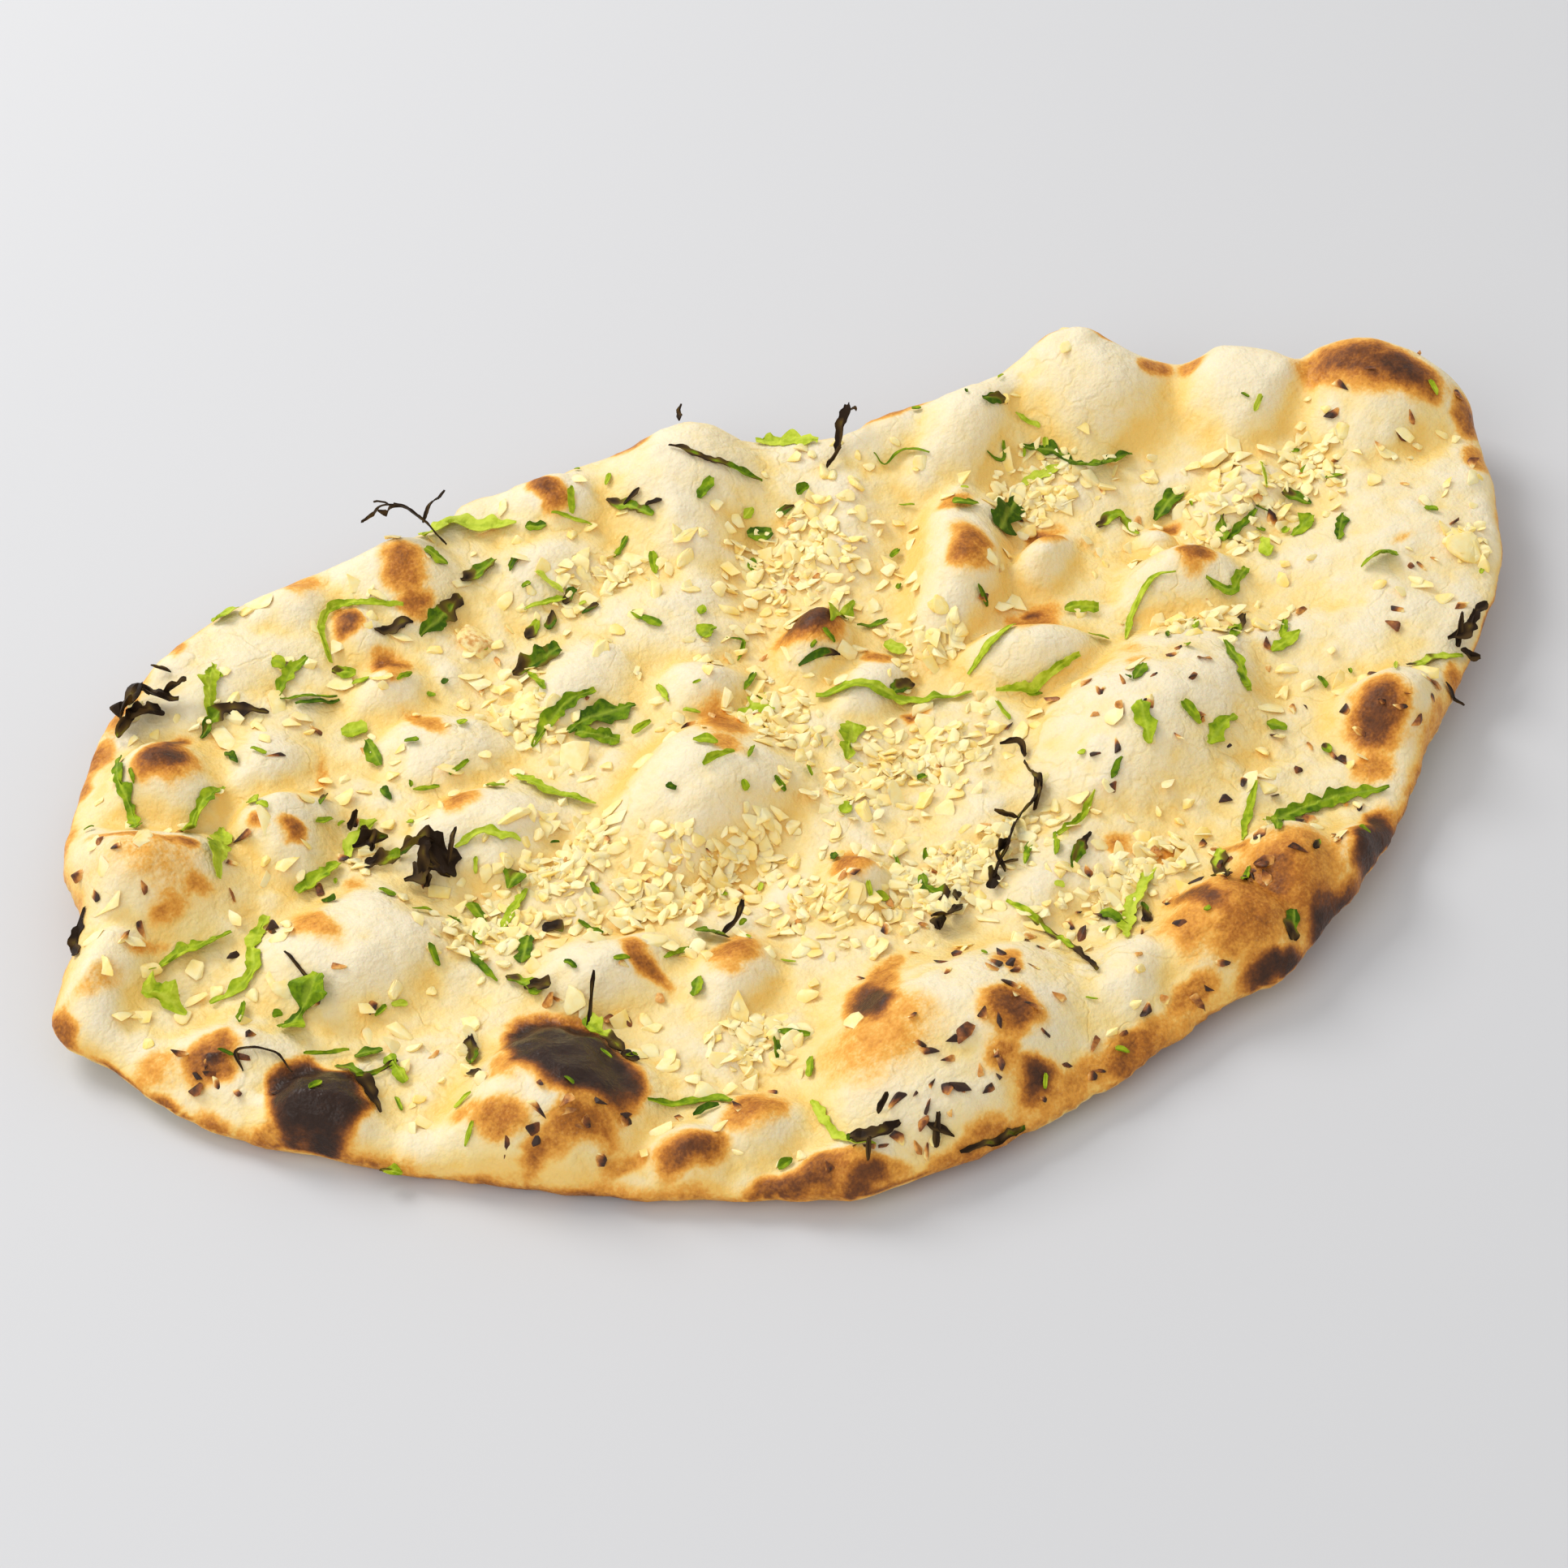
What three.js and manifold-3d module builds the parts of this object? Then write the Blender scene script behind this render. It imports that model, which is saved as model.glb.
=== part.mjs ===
// A long oven-baked flat bread, blistered all over, with minced garlic and shredded coriander on top.
// Millimetres, +Z up. It lies on z = 0 with its middle on the Z axis, and +X runs along its length.
import * as THREE from 'three';
import { mergeVertices } from 'three/addons/utils/BufferGeometryUtils.js';
import Module from 'manifold-3d';

const { clamp, degToRad, lerp, smoothstep } = THREE.MathUtils;
const wasm = await Module();
wasm.setup();

// Driving dimensions
const HALF_LENGTH = 169;
const HALF_WIDTH = 102;
const DOUGH = 6; // thickness of the dough between its bubbles
const TOP_ROUND = 8; // width of the rounding from the top down to the rim
const UNDER_ROUND = 5; // width of the rounding from the rim down to the underside
const FLAT_EDGE = 3; // a rim up to this high lies on the table
const FLAT_SHARE = 0.45; // the share of the way to the rim that lies flat
const RINGS = 24; // rings of points from the middle to where the top rounds over
const LEAF_THICKNESS = 0.6;
const LEAF_STEP = 4; // between the rows of points along a leaf
const NARROW_LEAF = 3; // a leaf under this width has no middle row of points
const GAP = 0.35; // between the bread and what lies loose on it
const GRAINS = 90; // minced garlic that is baked on
const LONGEST_GRAIN = 4.6;
const SHORTEST_GRAIN = 3;
const GRAIN_SPACING = 5;
const FLECKS = 24; // short coriander shreds that are baked on
const SHORTEST_FLECK = 5;
const LONGEST_FLECK = 8;
const FLECK_WIDTH = 1.6;
const FLECK_HEIGHT = 1;
const FLECK_SPACING = 9;
const RAISED = 0.15; // how far a baked-on bit's middle stands over the bread, as a share of its size
const CLEARANCE = 3; // between the baked-on bits and the loose pieces
const BITS_SHARE = 0.88; // the share of the way to the rim that has baked-on bits
const MOST_TRIES = 40000;
const SEED = 7;

// The rim seen from above, anticlockwise from the blunt left tip: x, y and the height of its edge.
const RIM = [
  [-169, 17, 7], [-164, 4, 5], [-158, -12, 4], [-148, -26, 3], [-114, -61, 3], [-74, -91, 4],
  [-55, -100, 5], [-15, -102, 5], [24, -98, 6], [36, -98, 7], [68, -86, 8], [84, -75, 7],
  [141, -37, 11], [164, -2, 13], [169, 9, 16], [167, 22, 16], [155, 34, 17], [145, 38, 15],
  [132, 50, 14], [121, 54, 15], [106, 71, 18], [92, 70, 17], [78, 70, 15], [60, 74, 14],
  [43, 76, 13], [29, 85, 13], [17, 95, 13], [-18, 100, 11], [-32, 102, 11], [-46, 99, 10],
  [-93, 99, 10], [-126, 84, 8], [-150, 54, 9], [-154, 38, 9],
];

// The bubbles: x, y, half length, half width, turn in degrees, rise.
const BUBBLES = [
  [-123, 61, 11, 11, 0, 9], [-141, 36, 16, 15, 0, 11], [-156, 19, 12, 7, 40, 5],
  [-112, 37, 11, 10, 0, 8], [-103, 56, 9, 7, 0, 4], [-113, 3, 19, 14, -10, 8],
  [-76, 18, 16, 11, 5, 7], [-71, 43, 12, 9, 0, 4.5], [-71, 64, 7, 7, 0, 5],
  [-71, 80, 6, 6, 0, 4], [-58, 88, 11, 14, 10, 6], [-80, 93, 8, 7, 0, 3],
  [-18, 91, 10, 10, 0, 4], [8, 78, 16, 19, -15, 8], [-14, 53, 17, 13, 0, 5],
  [8, 27, 8, 8, 0, 9], [-32, 2, 20, 15, 15, 12], [-19, 30, 10, 8, 0, 6],
  [-36, 44, 16, 9, 20, 5], [14, 11, 8, 7, 0, 5], [47, 30, 22, 10, 48, 11],
  [64, 22, 8, 7, 0, 8], [86, 0, 12, 11, 0, 9], [90, 14, 5, 4, 0, 4],
  [46, 0, 12, 9, 0, 9], [54, -30, 30, 19, 18, 13], [-21, -34, 7, 7, 0, 6],
  [-53, -41, 8, 7, 0, 5], [-76, -28, 13, 10, 0, 7], [-139, -33, 11, 13, -30, 9],
  [-101, -52, 18, 16, -20, 13], [-86, -76, 7, 6, 0, 5], [-72, -74, 9, 7, 0, 5],
  [-66, -93, 13, 6, -12, 4], [-29, -79, 28, 19, 0, 13], [30, -86, 13, 12, 0, 10],
  [48, -79, 10, 12, 0, 9], [63, -84, 9, 7, 0, 6], [95, -58, 13, 11, 30, 8],
  [152, 17, 17, 16, 0, 10], [101, 55, 16, 15, 0, 9], [128, 37, 14, 12, 30, 8],
  [124, -14, 26, 20, 0, 4], [-104, 80, 13, 9, 0, 3], [72, 58, 16, 11, 0, 7],
  [55, 70, 8, 6, 0, 3], [-28, 72, 14, 11, 0, 3], [95, -32, 13, 11, 0, 3],
  [18, -52, 22, 10, 20, 4], [6, -84, 14, 10, 0, 6], [-146, -8, 9, 8, 0, 3],
  [112, 14, 14, 10, 20, 4], [34, 50, 15, 9, 45, 3], [-130, 84, 8, 6, 40, 2],
];
const PIT = [-38, -19, 13, 7, 10, 4.5]; // the one deep hollow, given in the same way, by its depth

// The larger coriander: points along the middle, with any height over the bread third, and the width.
const CORIANDER = [
  { path: [[-129, 70], [-133, 62], [-134, 54], [-137, 45]], width: 3.5 },
  { path: [[-108, 72], [-105, 78], [-101, 84]], width: 4 },
  { path: [[-129, 41], [-124, 47], [-115, 52]], width: 3 },
  { path: [[-128, 28], [-124, 35], [-120, 44]], width: 4 },
  { path: [[-112, 69], [-104, 73], [-97, 68]], width: 4 },
  { path: [[-93, 72], [-88, 76], [-83, 78]], width: 3 },
  { path: [[-79, 75], [-77, 83], [-71, 87], [-66, 83], [-60, 78]], width: 2.5 },
  { path: [[-60, 71], [-54, 73], [-47, 77]], width: 5 },
  { path: [[-152, 14], [-149, 10], [-147, 6]], width: 5 },
  { path: [[-149, 17], [-141, 18], [-131, 18]], width: 4 },
  { path: [[-142, 6], [-133, 6], [-129, 13], [-123, 19]], width: 4 },
  { path: [[-115, 21], [-109, 23], [-104, 25]], width: 4 },
  { path: [[-102, 26], [-98, 30], [-92, 32]], width: 5 },
  { path: [[-84, 14], [-78, 14], [-72, 9]], width: 3 },
  { path: [[-62, 29], [-60, 20], [-53, 12]], width: 3.5 },
  { path: [[-47, 33], [-40, 34], [-31, 33]], width: 6 },
  { path: [[-55, 34], [-46, 38], [-37, 39]], width: 3.5 },
  { path: [[-46, 95], [-39, 97], [-33, 92], [-27, 88]], width: 6 },
  { path: [[-48, 54], [-43, 53], [-37, 53]], width: 5 },
  { path: [[9, 84], [13, 78], [18, 74], [24, 70]], width: 2.5 },
  { path: [[1, 14], [10, 8], [18, 3], [29, -2]], width: 3.5 },
  { path: [[12, 25], [18, 30], [24, 34]], width: 3 },
  { path: [[33, -5], [40, -9], [52, -8]], width: 2.2 },
  { path: [[-9, -39], [-10, -43], [-8, -47]], width: 3.5 },
  { path: [[34, -80], [38, -73], [43, -67]], width: 4 },
  { path: [[12, -78], [19, -70], [29, -64]], width: 3.5 },
  { path: [[49, -76], [57, -68], [69, -68], [81, -73]], width: 4.5 },
  { path: [[79, 50], [84, 46], [88, 38], [99, 37]], width: 4.5 },
  { path: [[61, 33], [66, 37], [71, 41]], width: 5.5 },
  { path: [[93, 20], [98, 22], [103, 23]], width: 4 },
  { path: [[115, -22], [119, -22], [123, -24]], width: 4 },
  { path: [[73, -38], [75, -31], [77, -24]], width: 3 },
  { path: [[56, -46], [60, -44], [66, -42]], width: 3.5 },
  { path: [[-134, -8], [-128, -6], [-123, -3]], width: 7 },
  { path: [[-108, -35], [-106, -31], [-104, -27]], width: 4 },
];

// Coriander that the oven burned to curls and twigs, given in the same way.
const CHARRED = [
  { path: [[-125, 78, 2], [-119, 82, 3], [-112, 78, 1]], width: 9 },
  { path: [[-96, 31], [-96, 27, 1], [-98, 22, 2]], width: 3.5 },
  { path: [[-96, 13], [-90, 12, 2], [-84, 12]], width: 8 },
  { path: [[25, -26], [22, -35], [15, -38], [8, -44], [1, -49]], width: 2.5 },
  { path: [[-8, -50], [-11, -52, 1], [-15, -51, 2]], width: 4 },
  { path: [[117, -48], [121, -49, 1], [126, -46, 2]], width: 3.5 },
  { path: [[-60, -90], [-56, -93, 1], [-51, -93]], width: 4 },
  { path: [[-43, 90], [-46, 94, 4], [-51, 97, 9]], width: 2.5 },
  { path: [[42, 68], [45, 71, 3], [48, 73, 7]], width: 2.5 },
];

// The larger garlic chips: x, y, half length, half width, turn in degrees, height.
const CHIPS = [
  [-52, 43, 5, 4, 20, 3], [-50, 26, 5, 3.5, 45, 3], [-50, 66, 4.5, 4, 0, 3.5],
  [-71, 14, 4.5, 2.6, 20, 2.2], [137, -30, 5, 4, 30, 2.6], [112, 25, 4.5, 4, 0, 3],
];

// The colours of the pieces
const BREAD_COLOUR = new THREE.MeshStandardMaterial({ color: 0xecd6a0, roughness: 0.6, metalness: 0 });
const LEAF_COLOUR = new THREE.MeshStandardMaterial({ color: 0x6f9a1c, roughness: 0.5, metalness: 0 });
const CHARRED_COLOUR = new THREE.MeshStandardMaterial({ color: 0x1e1814, roughness: 0.7, metalness: 0 });
const GARLIC_COLOUR = new THREE.MeshStandardMaterial({ color: 0xf3e3b4, roughness: 0.4, metalness: 0 });

// A seeded draw from 0 to 1, so that the loose bits fall the same way each time.
function makeDraw(seed) {
  let state = seed;
  return () => {
    state = (state + 0x6d2b79f5) | 0;
    let mixed = Math.imul(state ^ (state >>> 15), 1 | state);
    mixed = (mixed + Math.imul(mixed ^ (mixed >>> 7), 61 | mixed)) ^ mixed;
    return ((mixed ^ (mixed >>> 14)) >>> 0) / 4294967296;
  };
}

// The rim as a closed smooth curve, sorted by its direction from the middle.
const rimCurve = new THREE.CatmullRomCurve3(RIM.map((p) => new THREE.Vector3(...p)), true, 'catmullrom', 0.5);
const RIM_STEPS = 1440;
const rimPoints = Array.from({ length: RIM_STEPS }, (_, i) => rimCurve.getPoint(i / RIM_STEPS))
  .map((p) => ({ angle: Math.atan2(p.y, p.x), radius: Math.hypot(p.x, p.y), edge: p.z }))
  .sort((a, b) => a.angle - b.angle);

// How far the rim is from the middle in a direction, and how high its edge stands there.
function rimAt(angle) {
  let low = 0;
  let high = RIM_STEPS;
  while (low < high) {
    const middle = (low + high) >> 1;
    if (rimPoints[middle].angle < angle) low = middle + 1;
    else high = middle;
  }
  const after = rimPoints[low % RIM_STEPS];
  const before = rimPoints[(low - 1 + RIM_STEPS) % RIM_STEPS];
  const turn = 2 * Math.PI;
  const span = (after.angle - before.angle + turn) % turn;
  const share = ((angle - before.angle + turn) % turn) / span;
  return { radius: lerp(before.radius, after.radius, share), edge: lerp(before.edge, after.edge, share) };
}

// The larger of two heights, with their meeting line rounded.
function smoothMax(a, b, blend) {
  const share = clamp(0.5 + (0.5 * (a - b)) / blend, 0, 1);
  return lerp(b, a, share) + blend * share * (1 - share);
}

// Squared distance from an oval's middle, 1 on the oval.
function ovalDistance(x, y, [cx, cy, halfLength, halfWidth, turn]) {
  const cos = Math.cos(degToRad(turn));
  const sin = Math.sin(degToRad(turn));
  const along = ((x - cx) * cos + (y - cy) * sin) / halfLength;
  const across = ((y - cy) * cos - (x - cx) * sin) / halfWidth;
  return along * along + across * across;
}

// Height of the bubbles over the dough: domes with rounded feet on wide low swells, and the hollow.
function relief(x, y) {
  const warpedX = x + 1.6 * Math.sin(y / 8.3 + 0.7) + Math.sin(x / 5.1 + y / 11);
  const warpedY = y + 1.6 * Math.sin(x / 9.4 + 2.1) + Math.sin(y / 4.7 - x / 12);
  let domes = 0;
  let swell = 0;
  for (const bubble of BUBBLES) {
    const distance = ovalDistance(warpedX, warpedY, bubble);
    const rise = bubble[5];
    const dome = Math.max(0.86 * rise * (1 - 0.8 * distance), -8);
    domes = smoothMax(domes, dome, 1 + 0.26 * rise);
    swell = Math.max(swell, 0.19 * rise * Math.exp(-0.55 * distance));
  }
  return domes + swell - PIT[5] * Math.exp(-ovalDistance(x, y, PIT));
}

// Small unevenness of the baked surface.
function wobble(x, y) {
  return 0.5 * Math.sin(x / 9.1 + 1.3) * Math.sin(y / 7.7 + 0.4)
    + 0.4 * Math.sin(x / 5.3 - y / 8.9 + 2)
    + 0.3 * Math.sin(y / 4.1 + x / 6.7);
}

// Height of the underside, which curves up from the table towards a raised rim.
function underHeight(edge, share) {
  return Math.max(edge - FLAT_EDGE, 0) * smoothstep(share, FLAT_SHARE, 1) ** 1.3;
}

function topHeight(x, y, edge, share) {
  return underHeight(edge, share) + DOUGH + relief(x, y) + wobble(x, y);
}

// Point of the bread in a direction: share says how far out, and roll how far round the rim, 0 to 1.
function breadPoint(angle, share, roll, isTop) {
  const { radius, edge } = rimAt(angle);
  const round = isTop ? TOP_ROUND : UNDER_ROUND;
  const reach = share * (radius - round) + round * Math.sin((roll * Math.PI) / 2);
  const x = reach * Math.cos(angle);
  const y = reach * Math.sin(angle);
  const away = reach / radius;
  const height = isTop ? topHeight(x, y, edge, away) : underHeight(edge, away);
  return new THREE.Vector3(x, y, lerp(edge, height, Math.cos((roll * Math.PI) / 2)));
}

// A ring of points round the bread, spread as on an ellipse of its length and width.
function ring(count, share, roll, isTop) {
  return Array.from({ length: count }, (_, i) => {
    const turn = (2 * Math.PI * i) / count;
    const angle = Math.atan2(HALF_WIDTH * Math.sin(turn), HALF_LENGTH * Math.cos(turn));
    return breadPoint(angle, share, roll, isTop);
  });
}

// Closed skin through rings of any counts, the first and last of one point each.
function skin(rings) {
  const starts = [];
  const positions = [];
  for (const points of rings) {
    starts.push(positions.length / 3);
    for (const p of points) positions.push(p.x, p.y, p.z);
  }
  const index = [];
  for (let n = 0; n + 1 < rings.length; n += 1) {
    const a = rings[n].length;
    const b = rings[n + 1].length;
    let i = 0;
    let j = 0;
    while (i < a || j < b) {
      const fromA = starts[n] + (i % a);
      const fromB = starts[n + 1] + (j % b);
      if (j < b && (j + 1) * a <= (i + 1) * b) {
        if (b > 1) index.push(fromA, fromB, starts[n + 1] + ((j + 1) % b));
        j += 1;
      } else {
        if (a > 1) index.push(fromA, fromB, starts[n] + ((i + 1) % a));
        i += 1;
      }
    }
  }
  const geometry = new THREE.BufferGeometry();
  geometry.setAttribute('position', new THREE.Float32BufferAttribute(positions, 3));
  geometry.setIndex(index);
  return geometry;
}

// The bread on its own: the top's rings, the rounded rim and the underside, which is flat in its middle.
function plainBread() {
  const count = 6 * RINGS;
  const rings = [ring(1, 0, 0, true)];
  for (let n = 1; n <= RINGS; n += 1) rings.push(ring(6 * n, n / RINGS, 0, true));
  for (const roll of [0.33, 0.67, 1]) rings.push(ring(count, 1, roll, true));
  for (const roll of [0.5, 0]) rings.push(ring(count, 1, roll, false));
  for (const [divide, share] of [[2, 0.82], [4, 0.64], [6, FLAT_SHARE]]) {
    rings.push(ring(count / divide, share, 0, false));
  }
  rings.push(ring(1, 0, 0, false));
  return skin(rings);
}

// Conversions between three.js geometry and a solid that can be joined.
function toSolid(geometry) {
  const bare = geometry.clone();
  bare.deleteAttribute('normal');
  bare.deleteAttribute('uv');
  const merged = mergeVertices(bare, 1e-4);
  const vertProperties = new Float32Array(merged.attributes.position.array);
  const triVerts = new Uint32Array(merged.index.array);
  return new wasm.Manifold(new wasm.Mesh({ numProp: 3, vertProperties, triVerts }));
}

function toGeometry(solid) {
  const mesh = solid.getMesh();
  const geometry = new THREE.BufferGeometry();
  geometry.setAttribute('position', new THREE.BufferAttribute(mesh.vertProperties.slice(), 3));
  geometry.setIndex(new THREE.BufferAttribute(mesh.triVerts.slice(), 1));
  return geometry;
}

// Height of what lies under a point, found by looking straight down on it.
const ray = new THREE.Raycaster();
const DOWN = new THREE.Vector3(0, 0, -1);
function heightOn(meshes, x, y) {
  ray.set(new THREE.Vector3(x, y, HALF_WIDTH), DOWN);
  const hit = ray.intersectObjects(meshes)[0];
  return hit ? hit.point.z : 0;
}

// Turns and moves a bit so that it lies on the slope of a bread, raised by a given height.
function layOn(bare, geometry, x, y, spin, raised) {
  const slopeX = (heightOn([bare], x + 1, y) - heightOn([bare], x - 1, y)) / 2;
  const slopeY = (heightOn([bare], x, y + 1) - heightOn([bare], x, y - 1)) / 2;
  const normal = new THREE.Vector3(-slopeX, -slopeY, 1).normalize();
  geometry.rotateZ(spin);
  geometry.applyQuaternion(new THREE.Quaternion().setFromUnitVectors(new THREE.Vector3(0, 0, 1), normal));
  geometry.translate(x, y, heightOn([bare], x, y) + raised);
  return geometry;
}

// Minced garlic: a rough grain with a dozen corners.
function grain(draw, size) {
  const bare = new THREE.IcosahedronGeometry(1, 0);
  bare.deleteAttribute('normal');
  bare.deleteAttribute('uv');
  const geometry = mergeVertices(bare, 1e-3);
  const corners = geometry.attributes.position;
  for (let i = 0; i < corners.count; i += 1) {
    const swell = 0.8 + 0.4 * draw();
    corners.setXYZ(i, corners.getX(i) * swell, corners.getY(i) * swell, corners.getZ(i) * swell);
  }
  geometry.scale(size * 0.55, size * (0.32 + 0.16 * draw()), size * 0.34);
  return geometry;
}

// Places for small bits: thick in the valleys, thin on the bubbles, clear of the loose leaves and chips.
function scatter(draw, count, spacing, taken) {
  const places = [];
  for (let tries = 0; tries < MOST_TRIES && places.length < count; tries += 1) {
    const x = (2 * draw() - 1) * HALF_LENGTH;
    const y = (2 * draw() - 1) * HALF_WIDTH;
    const { radius } = rimAt(Math.atan2(y, x));
    const away = Math.hypot(x, y) / radius;
    const chance = Math.exp(-relief(x, y) / 3) * (1.1 - away * away);
    if (away > BITS_SHARE || draw() > chance) continue;
    const isNear = (p, reach) => Math.hypot(p[0] - x, p[1] - y) < reach;
    if (places.some((p) => isNear(p, spacing)) || taken.some((p) => isNear(p, p[2]))) continue;
    places.push([x, y]);
  }
  return places;
}

// The even steps along a piece of coriander, with the height of each over the bread.
function middleLine(path, step) {
  const curve = new THREE.CatmullRomCurve3(path.map(([x, y, rise = 0]) => new THREE.Vector3(x, y, rise)));
  return curve.getSpacedPoints(Math.max(3, Math.round(curve.getLength() / step)));
}

// What the small bits keep clear of
const taken = [];
for (const { path, width } of [...CORIANDER, ...CHARRED]) {
  for (const p of middleLine(path, CLEARANCE)) taken.push([p.x, p.y, width / 2 + CLEARANCE]);
}
for (const [x, y, halfLength] of CHIPS) taken.push([x, y, halfLength + CLEARANCE]);

// The bread with its garlic grains and short shreds joined to it
const draw = makeDraw(SEED);
const plain = new THREE.Mesh(plainBread());
let bread = toSolid(plain.geometry);
const grainPlaces = scatter(draw, GRAINS, GRAIN_SPACING, taken);
grainPlaces.forEach(([x, y], i) => {
  const size = lerp(LONGEST_GRAIN, SHORTEST_GRAIN, i / GRAINS);
  bread = bread.add(toSolid(layOn(plain, grain(draw, size), x, y, draw() * Math.PI, RAISED * size)));
});
for (const [x, y] of grainPlaces) taken.push([x, y, GRAIN_SPACING]);
for (const [x, y] of scatter(draw, FLECKS, FLECK_SPACING, taken)) {
  const fleck = new THREE.BoxGeometry(lerp(SHORTEST_FLECK, LONGEST_FLECK, draw()), FLECK_WIDTH, FLECK_HEIGHT);
  bread = bread.add(toSolid(layOn(plain, fleck, x, y, draw() * Math.PI, RAISED * FLECK_HEIGHT)));
}
const breadMesh = new THREE.Mesh(toGeometry(bread), BREAD_COLOUR);
breadMesh.name = 'bread';

// What is laid so far: the next piece lies on it.
const laid = [breadMesh];
const ground = (x, y) => heightOn(laid, x, y);

// Lifts the corners of a grid of points until no spot between them is lower than the bread and its gap.
function settle(rows) {
  const cellSpots = [0.25, 0.5, 0.75];
  for (let pass = 0; pass < 2; pass += 1) {
    for (let i = 0; i + 1 < rows.length; i += 1) {
      for (let j = 0; j + 1 < rows[i].length; j += 1) {
        const corners = [rows[i][j], rows[i][j + 1], rows[i + 1][j], rows[i + 1][j + 1]];
        let lift = 0;
        for (const u of cellSpots) {
          for (const v of cellSpots) {
            const near = new THREE.Vector3().lerpVectors(corners[0], corners[1], v);
            const far = new THREE.Vector3().lerpVectors(corners[2], corners[3], v);
            const spot = near.lerp(far, u);
            lift = Math.max(lift, ground(spot.x, spot.y) + GAP - spot.z);
          }
        }
        for (const corner of corners) corner.z += lift;
      }
    }
  }
}

// A thin wavy leaf or shred that follows its path over the bread, both faces split alike.
function leaf({ path, width }) {
  const columns = width < NARROW_LEAF ? [-1, 1] : [-1, 0, 1];
  const line = middleLine(path, LEAF_STEP);
  const last = line.length - 1;
  const rows = line.map((p, i) => {
    const ahead = line[Math.min(i + 1, last)];
    const behind = line[Math.max(i - 1, 0)];
    const side = new THREE.Vector2(behind.y - ahead.y, ahead.x - behind.x).normalize();
    const taper = 0.4 + 0.6 * Math.sin((Math.PI * (i + 0.4)) / (last + 0.8));
    const half = 0.5 * width * taper * (1 + 0.15 * Math.sin(2.3 * i));
    return columns.map((column) => {
      const x = p.x + column * half * side.x;
      const y = p.y + column * half * side.y;
      const wave = 0.25 * (1 + Math.sin(1.9 * i + 1.3 * column));
      return new THREE.Vector3(x, y, ground(x, y) + GAP + p.z + wave);
    });
  });
  settle(rows);
  const wide = columns.length;
  const under = rows.flat();
  const positions = [...under, ...under.map((p) => new THREE.Vector3(p.x, p.y, p.z + LEAF_THICKNESS))];
  const index = [];
  const quad = (a, b, c, d) => index.push(a, b, c, a, c, d);
  const upper = under.length;
  for (let i = 0; i < last; i += 1) {
    for (let j = 0; j + 1 < wide; j += 1) {
      const [a, b, c, d] = [i * wide + j, (i + 1) * wide + j, (i + 1) * wide + j + 1, i * wide + j + 1];
      index.push(a, c, b, a, d, c);
      quad(a + upper, b + upper, c + upper, d + upper);
    }
    const [right, left] = [i * wide, i * wide + wide - 1];
    quad(right, right + wide, right + wide + upper, right + upper);
    quad(left, left + upper, left + wide + upper, left + wide);
  }
  for (let j = 0; j + 1 < wide; j += 1) {
    const end = last * wide + j;
    quad(j, j + upper, j + 1 + upper, j + 1);
    quad(end, end + 1, end + 1 + upper, end + upper);
  }
  const geometry = new THREE.BufferGeometry();
  geometry.setAttribute('position', new THREE.Float32BufferAttribute(positions.flatMap((p) => [...p]), 3));
  geometry.setIndex(index);
  return geometry;
}

// A garlic chip: a rough dome whose flat side follows the bread.
function chip([cx, cy, halfLength, halfWidth, turn, height], draw) {
  const bare = new THREE.IcosahedronGeometry(1, 1);
  bare.deleteAttribute('normal');
  bare.deleteAttribute('uv');
  const geometry = mergeVertices(bare, 1e-3);
  geometry.rotateZ(draw() * Math.PI);
  const corners = geometry.attributes.position;
  const cos = Math.cos(degToRad(turn));
  const sin = Math.sin(degToRad(turn));
  for (let i = 0; i < corners.count; i += 1) {
    const swell = 0.88 + 0.24 * draw();
    const along = corners.getX(i) * halfLength * swell;
    const across = corners.getY(i) * halfWidth * swell;
    const up = corners.getZ(i);
    const x = cx + along * cos - across * sin;
    const y = cy + along * sin + across * cos;
    let base = ground(x, y);
    for (const [dx, dy] of [[1, 0], [-1, 0], [0, 1], [0, -1]]) base = Math.max(base, ground(x + dx, y + dy));
    const rise = up < -0.1 ? 0 : height * (0.3 + 0.7 * Math.max(up, 0));
    corners.setXYZ(i, x, y, base + GAP + rise);
  }
  return geometry;
}

// The whole: the bread first, then each loose piece on it
const naan = new THREE.Group();
naan.add(breadMesh);
function addPieces(kind, list, shape, material) {
  list.forEach((piece, i) => {
    const mesh = new THREE.Mesh(shape(piece), material);
    mesh.name = `${kind}_${String(i + 1).padStart(2, '0')}`;
    laid.push(mesh);
    naan.add(mesh);
  });
}
addPieces('garlic', CHIPS, (piece) => chip(piece, draw), GARLIC_COLOUR);
addPieces('coriander', CORIANDER, leaf, LEAF_COLOUR);
addPieces('charred', CHARRED, leaf, CHARRED_COLOUR);

export default naan;
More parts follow.
